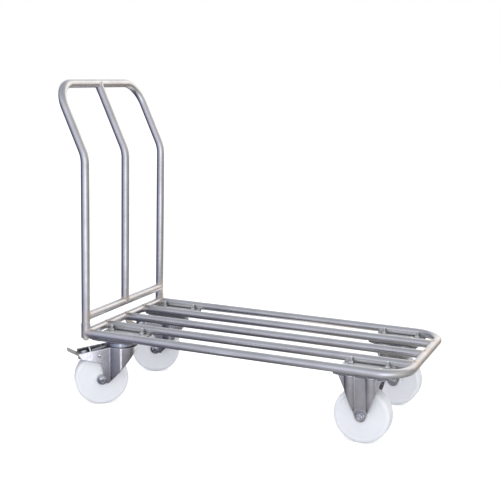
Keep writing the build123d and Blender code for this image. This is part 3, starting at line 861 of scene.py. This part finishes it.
def hexagon_rings(across_flats, low, high, round_low=True, round_high=True):
    """Rings up the outside of a hexagon with its corners turned down."""
    edge = hexagon(across_flats)
    face = FACE_SHARE * across_flats / 2
    rings = []
    if round_low:
        rings.append(ring(face, low))
    rings.append(ring(edge, turned_down(across_flats, low, 1) if round_low else low))
    rings.append(ring(edge, turned_down(across_flats, high, -1) if round_high else high))
    if round_high:
        rings.append(ring(face, high))
    return rings


print("hexagon helpers ready")

# %% [markdown]
# A thread is a groove whose place on the rod goes round once for each pitch. A screw
# modifier could wind it, but rings that each know the groove's place join the plain shank
# and the chamfered end in the same skin.

# %% A helper for threads
THREAD_DEPTH = 0.61
THREAD_FLAT = 0.125
GROOVE_ROWS = 6


def thread_rings(radius, pitch, low, high):
    """Rings up a threaded rod whose end is chamfered."""
    root = radius - THREAD_DEPTH * pitch

    def groove(turn, height):
        phase = (height / pitch - turn / (2 * math.pi)) % 1
        flank = 1 - abs(2 * phase - 1)
        depth = min(1.0, max(0.0, (1 + 2 * THREAD_FLAT) * flank - THREAD_FLAT))
        return min(radius - depth * (radius - root), root + high - height)

    rows = round((high - low) / pitch * GROOVE_ROWS)
    rings = []
    for row in range(rows + 1):
        height = low + (high - low) * row / rows
        rings.append(ring(lambda turn, z=height: groove(turn, z), height))
    return rings


print("thread helper ready")

# %% [markdown]
# Sixteen bolts hold the castors. Each comes up from below through both plates, and its end
# stands well above the nut. Their places are read from the boxes of the plates and washers,
# and each is turned a little further than the last, as nobody lines up their flats.

# %% Castor bolts
BOLT_R = 4 * MM
BOLT_PITCH = 1.25 * MM
BOLT_FLATS = 13 * MM
BOLT_TURN = 0.7
WASHER_R = 8 * MM
CASTOR_PLATE_T = 4 * MM

bolt_low, bolt_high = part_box("castor_bolts")
nut_low, nut_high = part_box("castor_nuts")
washer_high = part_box("castor_washers")[1]
HEAD_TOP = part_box("front_right_bracket")[1].z - CASTOR_PLATE_T
HOLE_ALONG = washer_high.x - WASHER_R - middle("mounting_plate_front_left").x
HOLE_ASIDE = washer_high.y - WASHER_R - middle("mounting_plate_front_left").y


def bolt_places():
    """The axis of every castor bolt, each with a turn of its own."""
    places = []
    for castor in CASTORS:
        centre = middle(f"mounting_plate_{castor}")
        for along in (-HOLE_ALONG, HOLE_ALONG):
            for aside in (-HOLE_ASIDE, HOLE_ASIDE):
                spot = Matrix.Translation((centre.x + along, centre.y + aside, 0))
                places.append(spot @ Matrix.Rotation(BOLT_TURN * len(places), 4, "Z"))
    return places


def castor_bolt():
    """A hexagon bolt with its head down and its threaded end up."""
    rings = hexagon_rings(BOLT_FLATS, bolt_low.z, HEAD_TOP, round_high=False)
    rings.append(ring(BOLT_R, HEAD_TOP))
    return skin(rings + thread_rings(BOLT_R, BOLT_PITCH, nut_low.z, bolt_high.z))


bolt_shapes = [placed(castor_bolt(), place) for place in bolt_places()]
castor_bolts = add_piece("castor_bolts_threaded", bolt_shapes, "frame", bright_steel)
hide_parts("castor_bolts")

# %% [markdown]
# A nut is the hexagon again with a bore through it. Its bore is a hair wider than the bolt,
# so the two skins never lie in the same place and flicker.

# %% Castor nuts
PLAY = 0.05 * MM
COUNTERSINK = 0.6 * MM


def hexagon_nut(across_flats, bore, low, high):
    """A nut with both faces chamfered and its bore countersunk."""
    rings = [ring(bore, low)]
    rings += hexagon_rings(across_flats, low, high)
    rings.append(ring(bore + COUNTERSINK, high))
    rings.append(ring(bore, high - COUNTERSINK))
    return skin(rings, loop=True)


castor_nut = hexagon_nut(BOLT_FLATS, BOLT_R + PLAY, nut_low.z, nut_high.z)
nut_shapes = [placed(castor_nut, place) for place in bolt_places()]
castor_nuts = add_piece("castor_nuts_chamfered", nut_shapes, "frame", bright_steel)
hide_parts("castor_nuts")

# %% [markdown]
# An axle bolt goes through both legs and the wheel. Its nut has a flange with a sloping top,
# which stands in for a washer. Both are drawn up +Z, where the nut is, and then laid along
# the axle.

# %% Axle sizes
AXLE_R = 6 * MM
AXLE_PITCH = 1.75 * MM
FLANGE_T = 2.5 * MM
FLANGE_LIP = 1.1 * MM
FLANGE_EDGE = 0.4 * MM
FLANGE_CORNER = 1.03

sample_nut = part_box("front_right_axle_nut")
sample_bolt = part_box("front_right_axle_bolt")
axle_line = middle("front_right_wheel").y
LEG_OUT = axle_line - sample_nut[1].y
NUT_END = axle_line - sample_nut[0].y
BOLT_END = axle_line - sample_bolt[0].y
HEAD_END = sample_bolt[1].y - axle_line
AXLE_FLATS = sample_bolt[1].z - sample_bolt[0].z
FLANGE_R = (sample_nut[1].z - sample_nut[0].z) / 2
print(f"axle bolt {(BOLT_END + HEAD_END) / MM:.0f} mm long")

# %% Shapes of an axle bolt and its nut
def axle_frame(castor, turn=0.0):
    """A matrix that lays +Z along a castor's axle towards its nut."""
    trail = trail_of(castor)
    nut_way = Vector((-trail.y, trail.x, 0))
    axes = Matrix((trail, nut_way.cross(trail), nut_way)).transposed().to_4x4()
    return Matrix.Translation(middle(f"{castor}_wheel")) @ axes @ Matrix.Rotation(turn, 4, "Z")


def axle_bolt():
    """A hexagon bolt from its head outside one leg to its end past the nut."""
    rings = hexagon_rings(AXLE_FLATS, -HEAD_END, -LEG_OUT, round_high=False)
    rings.append(ring(AXLE_R, -LEG_OUT))
    return skin(rings + thread_rings(AXLE_R, AXLE_PITCH, LEG_OUT, BOLT_END))


def flange_nut():
    """A hexagon nut that widens into a round flange against the leg."""
    seat = LEG_OUT + FLANGE_T
    corner = FLANGE_CORNER * hexagon(AXLE_FLATS)(0)
    rings = [
        ring(AXLE_R + PLAY, LEG_OUT),
        ring(FLANGE_R - FLANGE_EDGE, LEG_OUT),
        ring(FLANGE_R, LEG_OUT + FLANGE_EDGE),
        ring(FLANGE_R, LEG_OUT + FLANGE_LIP),
        ring(corner, seat),
    ]
    rings += hexagon_rings(AXLE_FLATS, seat, NUT_END, round_low=False)
    rings.append(ring(AXLE_R + COUNTERSINK, NUT_END))
    rings.append(ring(AXLE_R + PLAY, NUT_END - COUNTERSINK))
    return skin(rings, loop=True)


print("nut seat", round(LEG_OUT / MM, 1), "mm from the wheel's middle")

# %% [markdown]
# Every castor gets one of each. At the rear they ride on the fork, which swivels. Heads and
# nuts stop at different turns, as they do when they are tightened by hand.

# %% Fit the axles
HEAD_TURN = 0.4
NUT_TURN = 0.5
FIRST_NUT_TURN = 0.3

for number, castor in enumerate(CASTORS):
    body = f"{castor}_fork_set" if castor in REAR_CASTORS else "frame"
    shape = placed(axle_bolt(), axle_frame(castor, HEAD_TURN * number))
    bolt = add_piece(f"{castor}_axle_bolt_threaded", [shape], body, axle_steel)
    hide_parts(f"{castor}_axle_bolt")
    shape = placed(flange_nut(), axle_frame(castor, FIRST_NUT_TURN + NUT_TURN * number))
    nut = add_piece(f"{castor}_flange_nut", [shape], body, axle_steel)
    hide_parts(f"{castor}_axle_nut")

# %% [markdown]
# The lever turns on two stub rivets, one through each arm, whose heads are low domes. A
# dome is a stack of rings that narrow along a quarter of a circle.

# %% Domed rivets
RIVET_R = 3.5 * MM
RIVET_HEAD_R = 5 * MM
RIVET_DOME = 2.0 * MM
RIVET_IN = 26.3 * MM
DOME_ROWS = 6


def dome_rings(radius, low, height):
    """Rings that narrow upwards from a rim to a small flat top."""
    rings = []
    for row in range(DOME_ROWS):
        slope = math.pi / 2 * row / DOME_ROWS
        rings.append(ring(radius * math.cos(slope), low + height * math.sin(slope)))
    return rings


def stub_rivet():
    """A rivet's shank and its domed head outside the leg."""
    shank = [ring(RIVET_R, RIVET_IN), ring(RIVET_R, LEG_OUT)]
    return skin(shank + dome_rings(RIVET_HEAD_R, LEG_OUT, RIVET_DOME))


for castor in REAR_CASTORS:
    spot = Matrix.Translation(middle(f"{castor}_rivets") - middle(f"{castor}_wheel"))
    near = spot @ axle_frame(castor)
    far = near @ Matrix.Rotation(math.pi, 4, "X")
    shapes = [placed(stub_rivet(), near), placed(stub_rivet(), far)]
    rivets = add_piece(f"{castor}_domed_rivets", shapes, f"{castor}_fork_set",
                       bright_steel)
    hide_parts(f"{castor}_rivets")

# %% [markdown]
# The brake shoe hangs under the lever from one round-headed screw. A ray dropped on to the
# lever tells where its sheet is and how it slopes, so the head sits flat on it.

# %% Brake shoe screws
SCREW_OUT = 110 * MM
SCREW_R = 9 * MM
SCREW_DOME = 4.2 * MM
SCREW_LIP = 0.8 * MM
UPWARD = Vector((0, 0, 1))


def on_lever(castor, out):
    """A matrix on the top of a lever's sheet, with +Z away from the sheet."""
    start = middle(f"{castor}_king_pin") + out * trail_of(castor)
    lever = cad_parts[f"{castor}_brake_lever"]
    _, spot, facing, _ = lever.ray_cast(start, -UPWARD)
    return Matrix.Translation(spot) @ facing.to_track_quat("Z", "Y").to_matrix().to_4x4()


def screw_head():
    """A round screw head with a short straight rim."""
    rim = ring(SCREW_R, -SCREW_LIP)
    return skin([rim] + dome_rings(SCREW_R, SCREW_LIP, SCREW_DOME - SCREW_LIP))


for castor in REAR_CASTORS:
    shape = placed(screw_head(), on_lever(castor, SCREW_OUT))
    add_piece(f"{castor}_shoe_screw", [shape], f"{castor}_brake", screw_steel)

# %% [markdown]
# Every joint of the frame is welded. A weld bead is a row of small crescents, each laid over
# the one before, so its radius swells and shrinks along its path. A curve with a round bevel
# would be smooth as wire, so the bead's rings are worked out one by one.

# %% A helper that shares out a path
RIPPLE = 2.0 * MM
RIPPLE_ROWS = 5
PATH_STEPS = 360


def even_shares(path):
    """Shares of a path that lie at equal distances, a whole number of ripples in all."""
    dense = [path(step / PATH_STEPS)[0] for step in range(PATH_STEPS + 1)]
    reach = [0.0]
    for here, there in zip(dense, dense[1:]):
        reach.append(reach[-1] + (there - here).length)
    count = round(reach[-1] / RIPPLE) * RIPPLE_ROWS
    wanted = [reach[-1] * step / count for step in range(count + 1)]
    shares = np.interp(wanted, reach, np.linspace(0, 1, PATH_STEPS + 1))
    return shares.tolist(), reach[-1]


print("ripples every", round(RIPPLE / MM, 1), "mm")

# %% A helper that lays a weld bead
BEAD_STEPS = 10
BEAD_FLAT = 0.75
SWELL = 0.13
CRESCENT = 0.3
WANDER = 0.16
WANDER_CELLS = 180
NUDGE = 0.002
TIP_SIZE = 0.25
TIP_LONG = 1.5


def bead(path, radius, closed):
    """A rippled bead along a path that gives a point and the way out from the joint."""
    shares, length = even_shares(path)
    rows = len(shares) - 1
    rings = []
    for row, share in enumerate(shares[:-1] if closed else shares):
        spot, outward = path(share)
        along = (path(share + NUDGE)[0] - path(share - NUDGE)[0]).normalized()
        outward = (outward - outward.project(along)).normalized()
        aside = along.cross(outward)
        size = radius * (1 + WANDER * noise.noise(spot * WANDER_CELLS))
        if not closed:
            from_end = min(row, rows - row) / rows * length
            rise = math.sqrt(min(1.0, from_end / (TIP_LONG * radius)))
            size *= TIP_SIZE + (1 - TIP_SIZE) * rise
        points = []
        for step in range(BEAD_STEPS):
            turn = 2 * math.pi * step / BEAD_STEPS
            phase = row / RIPPLE_ROWS - CRESCENT * (1 - math.cos(turn))
            swell = size * (1 + SWELL * math.cos(2 * math.pi * phase))
            out = outward * (BEAD_FLAT * swell * math.cos(turn))
            points.append(spot + out + aside * (swell * math.sin(turn)))
        rings.append(points)
    return skin(rings, loop=closed)


print("bead helper ready")

# %% [markdown]
# The path round a tube that meets another tube follows from their radii: a point at one
# angle round the branch lies on the skin of the run. The bead's way out lies halfway
# between the two skins.

# %% A helper for the joint of two tubes
def round_joint(centre, run, branch, run_r=TUBE_R, branch_r=TUBE_R):
    """The path on which a branch tube meets the skin of a run tube."""
    third = run.cross(branch)

    def path(share):
        turn = 2 * math.pi * share
        around = math.sin(turn) * run + math.cos(turn) * third
        over = branch_r * math.cos(turn)
        deep = math.sqrt(max(0.0, run_r**2 - over**2))
        from_run = (over * third + deep * branch) / run_r
        return centre + branch_r * around + deep * branch, around + from_run

    return path


print("joint helper ready")

# %% [markdown]
# The inner tubes meet the cross tubes at both ends, and the deck and the crossbar meet the
# corner posts. The handle's middle upright meets the top bar at a slant, which is written
# as the step along and down of its upper length in millimetres.

# %% Welds of the deck and the handle
AHEAD = Vector((1, 0, 0))
LEFTWARD = Vector((0, 1, 0))
BEAD_R = 2.1 * MM
SLANT_ALONG = 97
SLANT_DOWN = 206
HANDLE_SLANT = Vector((SLANT_ALONG, 0, -SLANT_DOWN)).normalized()

deck_joints = []
for bar in ("right", "middle", "left"):
    y = middle(f"deck_inner_tube_{bar}").y
    deck_joints.append(round_joint(Vector((FRONT_X, y, DECK_Z)), LEFTWARD, -AHEAD))
    deck_joints.append(round_joint(Vector((REAR_X, y, DECK_Z)), LEFTWARD, AHEAD))
handle_joints = [
    round_joint(Vector((TOP_BAR_X, 0, TOP_BAR_Z)), LEFTWARD, HANDLE_SLANT),
    round_joint(Vector((REAR_X, 0, CROSSBAR_Z)), LEFTWARD, UPWARD),
]
for side in (-1, 1):
    corner = Vector((REAR_X, side * SIDE_Y, DECK_Z))
    deck_joints.append(round_joint(corner, UPWARD, AHEAD, run_r=SLEEVE_R))
    deck_joints.append(round_joint(corner, UPWARD, -side * LEFTWARD, run_r=SLEEVE_R))
    crossbar_end = Vector((REAR_X, side * SIDE_Y, CROSSBAR_Z))
    handle_joints.append(round_joint(crossbar_end, UPWARD, -side * LEFTWARD))

for name, joints in (("deck_welds", deck_joints), ("handle_welds", handle_joints)):
    beads = [bead(path, BEAD_R, True) for path in joints]
    add_piece(name, beads, "frame", weld_metal)

# %% [markdown]
# The corner sleeves are closed to the uprights by a small ring weld on their rims, and the
# mounting plates hang from the tubes by short stitches in the corner under each tube.

# %% Rim welds and stitches
RIM_R = 1.2 * MM
STITCH_R = 2.0 * MM
STITCH_LONG = 14 * MM
STITCH_APART = 66 * MM
STITCH_ASIDE = 8.5 * MM


def rim_path(side):
    """A circle on the top rim of a corner sleeve."""
    centre = Vector((REAR_X, side * SIDE_Y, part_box("corner_sleeves")[1].z))

    def path(share):
        turn = 2 * math.pi * share
        away = Vector((math.cos(turn), math.sin(turn), 0))
        return centre + TUBE_R * away, away + UPWARD

    return path


def stitch_path(castor, tube_y, inward, along):
    """A short straight line in the corner between a plate and a tube."""
    x = middle(f"mounting_plate_{castor}").x + along - STITCH_LONG / 2
    start = Vector((x, tube_y + inward * STITCH_ASIDE, PLATE_TOP + STITCH_R))
    return lambda share: (start + share * STITCH_LONG * AHEAD, inward * LEFTWARD + UPWARD)


rims = [bead(rim_path(side), RIM_R, True) for side in (-1, 1)]
add_piece("sleeve_rim_welds", rims, "frame", weld_metal)

stitches = []
for castor in CASTORS:
    side = -1 if castor.endswith("right") else 1
    for tube_y, inward in ((side * SIDE_Y, -side), (side * BAR_PITCH, side)):
        for along in (-STITCH_APART, STITCH_APART):
            path = stitch_path(castor, tube_y, inward, along)
            stitches.append(bead(path, STITCH_R, False))
add_piece("plate_stitch_welds", stitches, "frame", weld_metal)

# %% [markdown]
# The studio: a pale floor, a white surround and soft light from a large lamp overhead and
# a smaller one beside the camera. The camera and mirror-like surfaces see the surround as
# white, while the light that it gives to matt surfaces is set by itself.

# %% World light
SOFT_LIGHT = 0.87
WHITE = (1, 1, 1, 1)

world = bpy.data.worlds.new("studio")
scene.world = world
world.use_nodes = True
sky = world.node_tree
sky.nodes.clear()
rays = add_node(sky, "ShaderNodeLightPath").outputs
seen = math_node(sky, "MAXIMUM", rays["Is Camera Ray"], rays["Is Glossy Ray"])
seen = math_node(sky, "MAXIMUM", seen, rays["Is Transmission Ray"])
soft = add_node(sky, "ShaderNodeBackground", {"Color": WHITE, "Strength": SOFT_LIGHT})
white = add_node(sky, "ShaderNodeBackground", {"Color": WHITE, "Strength": 1.0})
either = add_node(sky, "ShaderNodeMixShader", {0: seen, 1: soft.outputs[0], 2: white.outputs[0]})
add_node(sky, "ShaderNodeOutputWorld", {"Surface": either.outputs[0]})
print("world light", SOFT_LIGHT)

# %% Lamps
AIM = Vector((0, 0, 0.4))


def soft_box(name, place, size, watts):
    """A square area lamp that points at the trolley and isn't mirrored in the steel."""
    lamp = bpy.data.objects.new(name, bpy.data.lights.new(name, "AREA"))
    lamp.data.size = size
    lamp.data.energy = watts
    lamp.location = place
    lamp.rotation_euler = (AIM - Vector(place)).to_track_quat("-Z", "Y").to_euler()
    lamp.visible_glossy = False
    scene.collection.objects.link(lamp)
    return lamp


overhead = soft_box("overhead", place=(0.6, -1.2, 4.2), size=3.5, watts=50)
beside_camera = soft_box("beside_camera", place=(2.6, -4.2, 1.8), size=2.5, watts=28)
print("lamps:", overhead.name, beside_camera.name)

# %% [markdown]
# Their paints are laid one by one, without the shader that the trolley's own finishes use.

# %% Helpers for the studio's parts
def blank_paint(name):
    """A new material without nodes, and its node tree."""
    material = bpy.data.materials.new(name)
    material.use_nodes = True
    material.node_tree.nodes.clear()
    return material, material.node_tree


def stand_up(name, points, faces, paint):
    """Makes a part of the studio."""
    mesh = bpy.data.meshes.new(name)
    mesh.from_pydata(points, [], faces)
    mesh.materials.append(paint)
    part = bpy.data.objects.new(name, mesh)
    scene.collection.objects.link(part)
    return part


def glow_with(tree, color):
    """Ends a paint in a plain glow."""
    glow = add_node(tree, "ShaderNodeEmission", {"Color": color, "Strength": 1.0})
    add_node(tree, "ShaderNodeOutputMaterial", {"Surface": glow.outputs[0]})


print("studio helpers ready")

# %% [markdown]
# The floor is matt paint that also glows for the camera alone, so that it looks white but
# keeps the trolley's soft shadow.

# %% Floor
FLOOR_HALF = 30.0
FLOOR_GLOW = 0.5
FLOOR_COLOR = (0.80, 0.80, 0.81, 1)


def floor_paint():
    """Matt pale paint that glows for the camera."""
    material, tree = blank_paint("floor_paint")
    rays = add_node(tree, "ShaderNodeLightPath").outputs
    matt = add_node(tree, "ShaderNodeBsdfDiffuse", {"Color": FLOOR_COLOR})
    strength = times(tree, rays["Is Camera Ray"], FLOOR_GLOW)
    glow = add_node(tree, "ShaderNodeEmission", {"Color": WHITE, "Strength": strength})
    both = add_node(tree, "ShaderNodeAddShader", {0: matt.outputs[0], 1: glow.outputs[0]})
    add_node(tree, "ShaderNodeOutputMaterial", {"Surface": both.outputs[0]})
    return material


signs = ((-1, -1), (1, -1), (1, 1), (-1, 1))
corners = [(FLOOR_HALF * along, FLOOR_HALF * aside, 0.0) for along, aside in signs]
floor = stand_up("floor", corners, [(0, 1, 2, 3)], floor_paint())
print(floor.name, "reaches", FLOOR_HALF, "m out")

# %% [markdown]
# Polished steel shows the room, so the room decides how it looks. A photographed surround
# would do, but a round room of plain cards can be tuned tone by tone. It stands about the
# trolley and is seen only in reflections: dark blue on the left, bright beside the camera,
# warm grey on the right, a window behind on the right, and the trolley's own dark shade on
# the ground under the deck. Angles are from the camera's side.

# %% Tones of the reflected room
LOW_TONES = [
    (-180, (1.10, 1.11, 1.15, 1)),
    (-155, (0.60, 0.61, 0.66, 1)),
    (-135, (0.14, 0.14, 0.19, 1)),
    (-100, (0.05, 0.05, 0.09, 1)),
    (-68, (0.30, 0.32, 0.44, 1)),
    (-38, (0.80, 0.82, 0.95, 1)),
    (-12, (1.15, 1.17, 1.34, 1)),
    (6, (1.55, 1.57, 1.76, 1)),
    (20, (1.40, 1.41, 1.54, 1)),
    (34, (0.80, 0.81, 0.86, 1)),
    (60, (0.52, 0.53, 0.52, 1)),
    (105, (0.38, 0.36, 0.35, 1)),
    (130, (0.80, 0.73, 0.70, 1)),
    (150, (1.20, 1.16, 1.12, 1)),
    (180, (1.10, 1.11, 1.15, 1)),
]
HIGH_TONES = [
    (-180, (0.92, 0.93, 0.97, 1)),
    (-120, (0.36, 0.38, 0.46, 1)),
    (-44, (0.76, 0.78, 0.87, 1)),
    (0, (0.75, 0.76, 0.86, 1)),
    (45, (0.66, 0.66, 0.66, 1)),
    (100, (0.60, 0.58, 0.56, 1)),
    (145, (1.65, 1.60, 1.54, 1)),
    (165, (1.05, 1.03, 1.02, 1)),
    (180, (0.92, 0.93, 0.97, 1)),
]
CEILING_TONE = (0.50, 0.52, 0.57, 1)
SHADE_TONE = (0.085, 0.08, 0.09, 1)
FAR_GROUND_TONE = (0.15, 0.12, 0.10, 1)
print("room tones:", len(LOW_TONES), "low and", len(HIGH_TONES), "high")

# %% [markdown]
# The wall's tone follows the angle round the room and rises into the ceiling's. An oval of
# shade lies about the middle, under and over the trolley, and the ground behind is darker.

# %% Paint of the room's wall
LOW_TO_HIGH = (0.6, 3.0)
HIGH_TO_CEILING = (3.5, 8.0)


def tone_ramp(tree, share, tones):
    """A colour ramp round the room."""
    ramp = add_node(tree, "ShaderNodeValToRGB", {"Fac": share})
    stops = ramp.color_ramp.elements
    while len(stops) < len(tones):
        stops.new(0.5)
    for stop, (degrees, tone) in zip(stops, tones):
        stop.position = (degrees + 180) / 360
        stop.color = tone
    return ramp.outputs["Color"]


def wall_tone(tree, parts):
    """The colour of the wall, which goes round the room and up to the ceiling."""
    turn = math_node(tree, "ARCTAN2", parts["X"], times(tree, parts["Y"], -1.0))
    turn = math_node(tree, "WRAP", minus(tree, turn, CAMERA_AZIMUTH), math.pi, -math.pi)
    share = remap(tree, turn, -math.pi, math.pi, 0.0, 1.0)
    low = tone_ramp(tree, share, LOW_TONES)
    high = tone_ramp(tree, share, HIGH_TONES)
    wall = mix_colors(tree, remap(tree, parts["Z"], *LOW_TO_HIGH, 0.0, 1.0), low, high)
    return mix_colors(tree, remap(tree, parts["Z"], *HIGH_TO_CEILING, 0.0, 1.0), wall, CEILING_TONE)


print("wall paint ready")

# %% Paint of the whole room
SHADE_MIDDLE = -0.10
SHADE_LONG = 0.72
SHADE_AHEAD = 1.15
SHADE_BEHIND = 0.28
SHADE_FADE = (0.05, 1.5)
FAR_GROUND_FADE = (0.8, 1.5)
FAR_GROUND_COVER = 0.85
FAR_GROUND_HIGH = 0.2


def room_paint():
    """A glow with the wall's tones, the trolley's shade and a darker ground behind it."""
    material, tree = blank_paint("room_paint")
    parts = add_node(tree, "ShaderNodeSeparateXYZ", {"Vector": object_place(tree)}).outputs
    aside = minus(tree, parts["Y"], SHADE_MIDDLE)
    ahead = times(tree, aside, -1 / SHADE_AHEAD)
    behind = times(tree, aside, 1 / SHADE_BEHIND)
    across = math_node(tree, "MAXIMUM", ahead, behind)
    along = times(tree, parts["X"], 1 / SHADE_LONG)
    shade = remap(tree, length_of(tree, X=along, Y=across), *SHADE_FADE, 1.0, 0.0)
    tone = mix_colors(tree, shade, wall_tone(tree, parts), SHADE_TONE)
    behind_it = remap(tree, parts["Y"], *FAR_GROUND_FADE, 0.0, FAR_GROUND_COVER)
    on_ground = remap(tree, parts["Z"], 0.0, FAR_GROUND_HIGH, 1.0, 0.0)
    glow_with(tree, mix_colors(tree, times(tree, behind_it, on_ground), tone, FAR_GROUND_TONE))
    return material


print("room paint ready")

# %% [markdown]
# The room is one mesh: a fan of triangles for the ground, a ring of upright cards and one
# flat face for the ceiling. It is hidden from the camera and from matt surfaces and casts
# no shadow, so that only reflections show it.

# %% Stand the room's cards up
ROOM_RADIUS = 5.0
ROOM_HEIGHT = 9.0
ROOM_STEPS = 72
GROUND_LIFT = 0.5 * MM


def room_shape():
    """The points and faces of a round ground sheet, wall and ceiling."""
    points = [(0, 0, GROUND_LIFT)]
    faces = []
    for step in range(ROOM_STEPS):
        turn = 2 * math.pi * step / ROOM_STEPS
        across = ROOM_RADIUS * math.sin(turn)
        along = -ROOM_RADIUS * math.cos(turn)
        points += [(across, along, GROUND_LIFT), (across, along, ROOM_HEIGHT)]
        here = 1 + 2 * step
        there = 1 + 2 * ((step + 1) % ROOM_STEPS)
        faces += [(0, here, there), (here, there, there + 1, here + 1)]
    faces.append(range(2, 2 + 2 * ROOM_STEPS, 2))
    return points, faces


def only_mirrored(part):
    """Hides a part of the studio from the camera, matt surfaces and shadows."""
    part.visible_camera = False
    part.visible_diffuse = False
    part.visible_shadow = False


room = stand_up("room_cards", *room_shape(), room_paint())
only_mirrored(room)
print("room radius", ROOM_RADIUS)

# %% [markdown]
# The head of the near swivel castor is a round shell, so it shows a bright upright line. A
# low narrow card beside the castor gives it, and only mirrors see the card.

# %% Stand a glint card by the near castor
GLINT_TURN = CAMERA_AZIMUTH + math.radians(5)
GLINT_NEAR = 0.38
GLINT_AWAY = 0.50
GLINT_HIGH = 0.10
GLINT_SPREAD = 0.062
GLINT_TONE = (2.2, 2.25, 2.5, 1)


def glint_points():
    """A strip that lies on the ground towards the castor's head and then stands up."""
    away = Vector((math.sin(GLINT_TURN), -math.cos(GLINT_TURN), 0))
    aside = GLINT_SPREAD * Vector((away.y, -away.x, 0))
    foot = middle("rear_right_king_pin")
    foot.z = MM
    points = []
    for far, high in ((GLINT_NEAR, 0), (GLINT_AWAY, 0), (GLINT_AWAY, GLINT_HIGH)):
        for side in (-1, 1):
            points.append(foot + far * (away + side * aside) + high * UPWARD)
    return points


glint_paint, tree = blank_paint("glint_paint")
glow_with(tree, GLINT_TONE)
glint = stand_up("glint_card", glint_points(), [(0, 1, 3, 2), (2, 3, 5, 4)], glint_paint)
only_mirrored(glint)
print("stood up", glint.name)
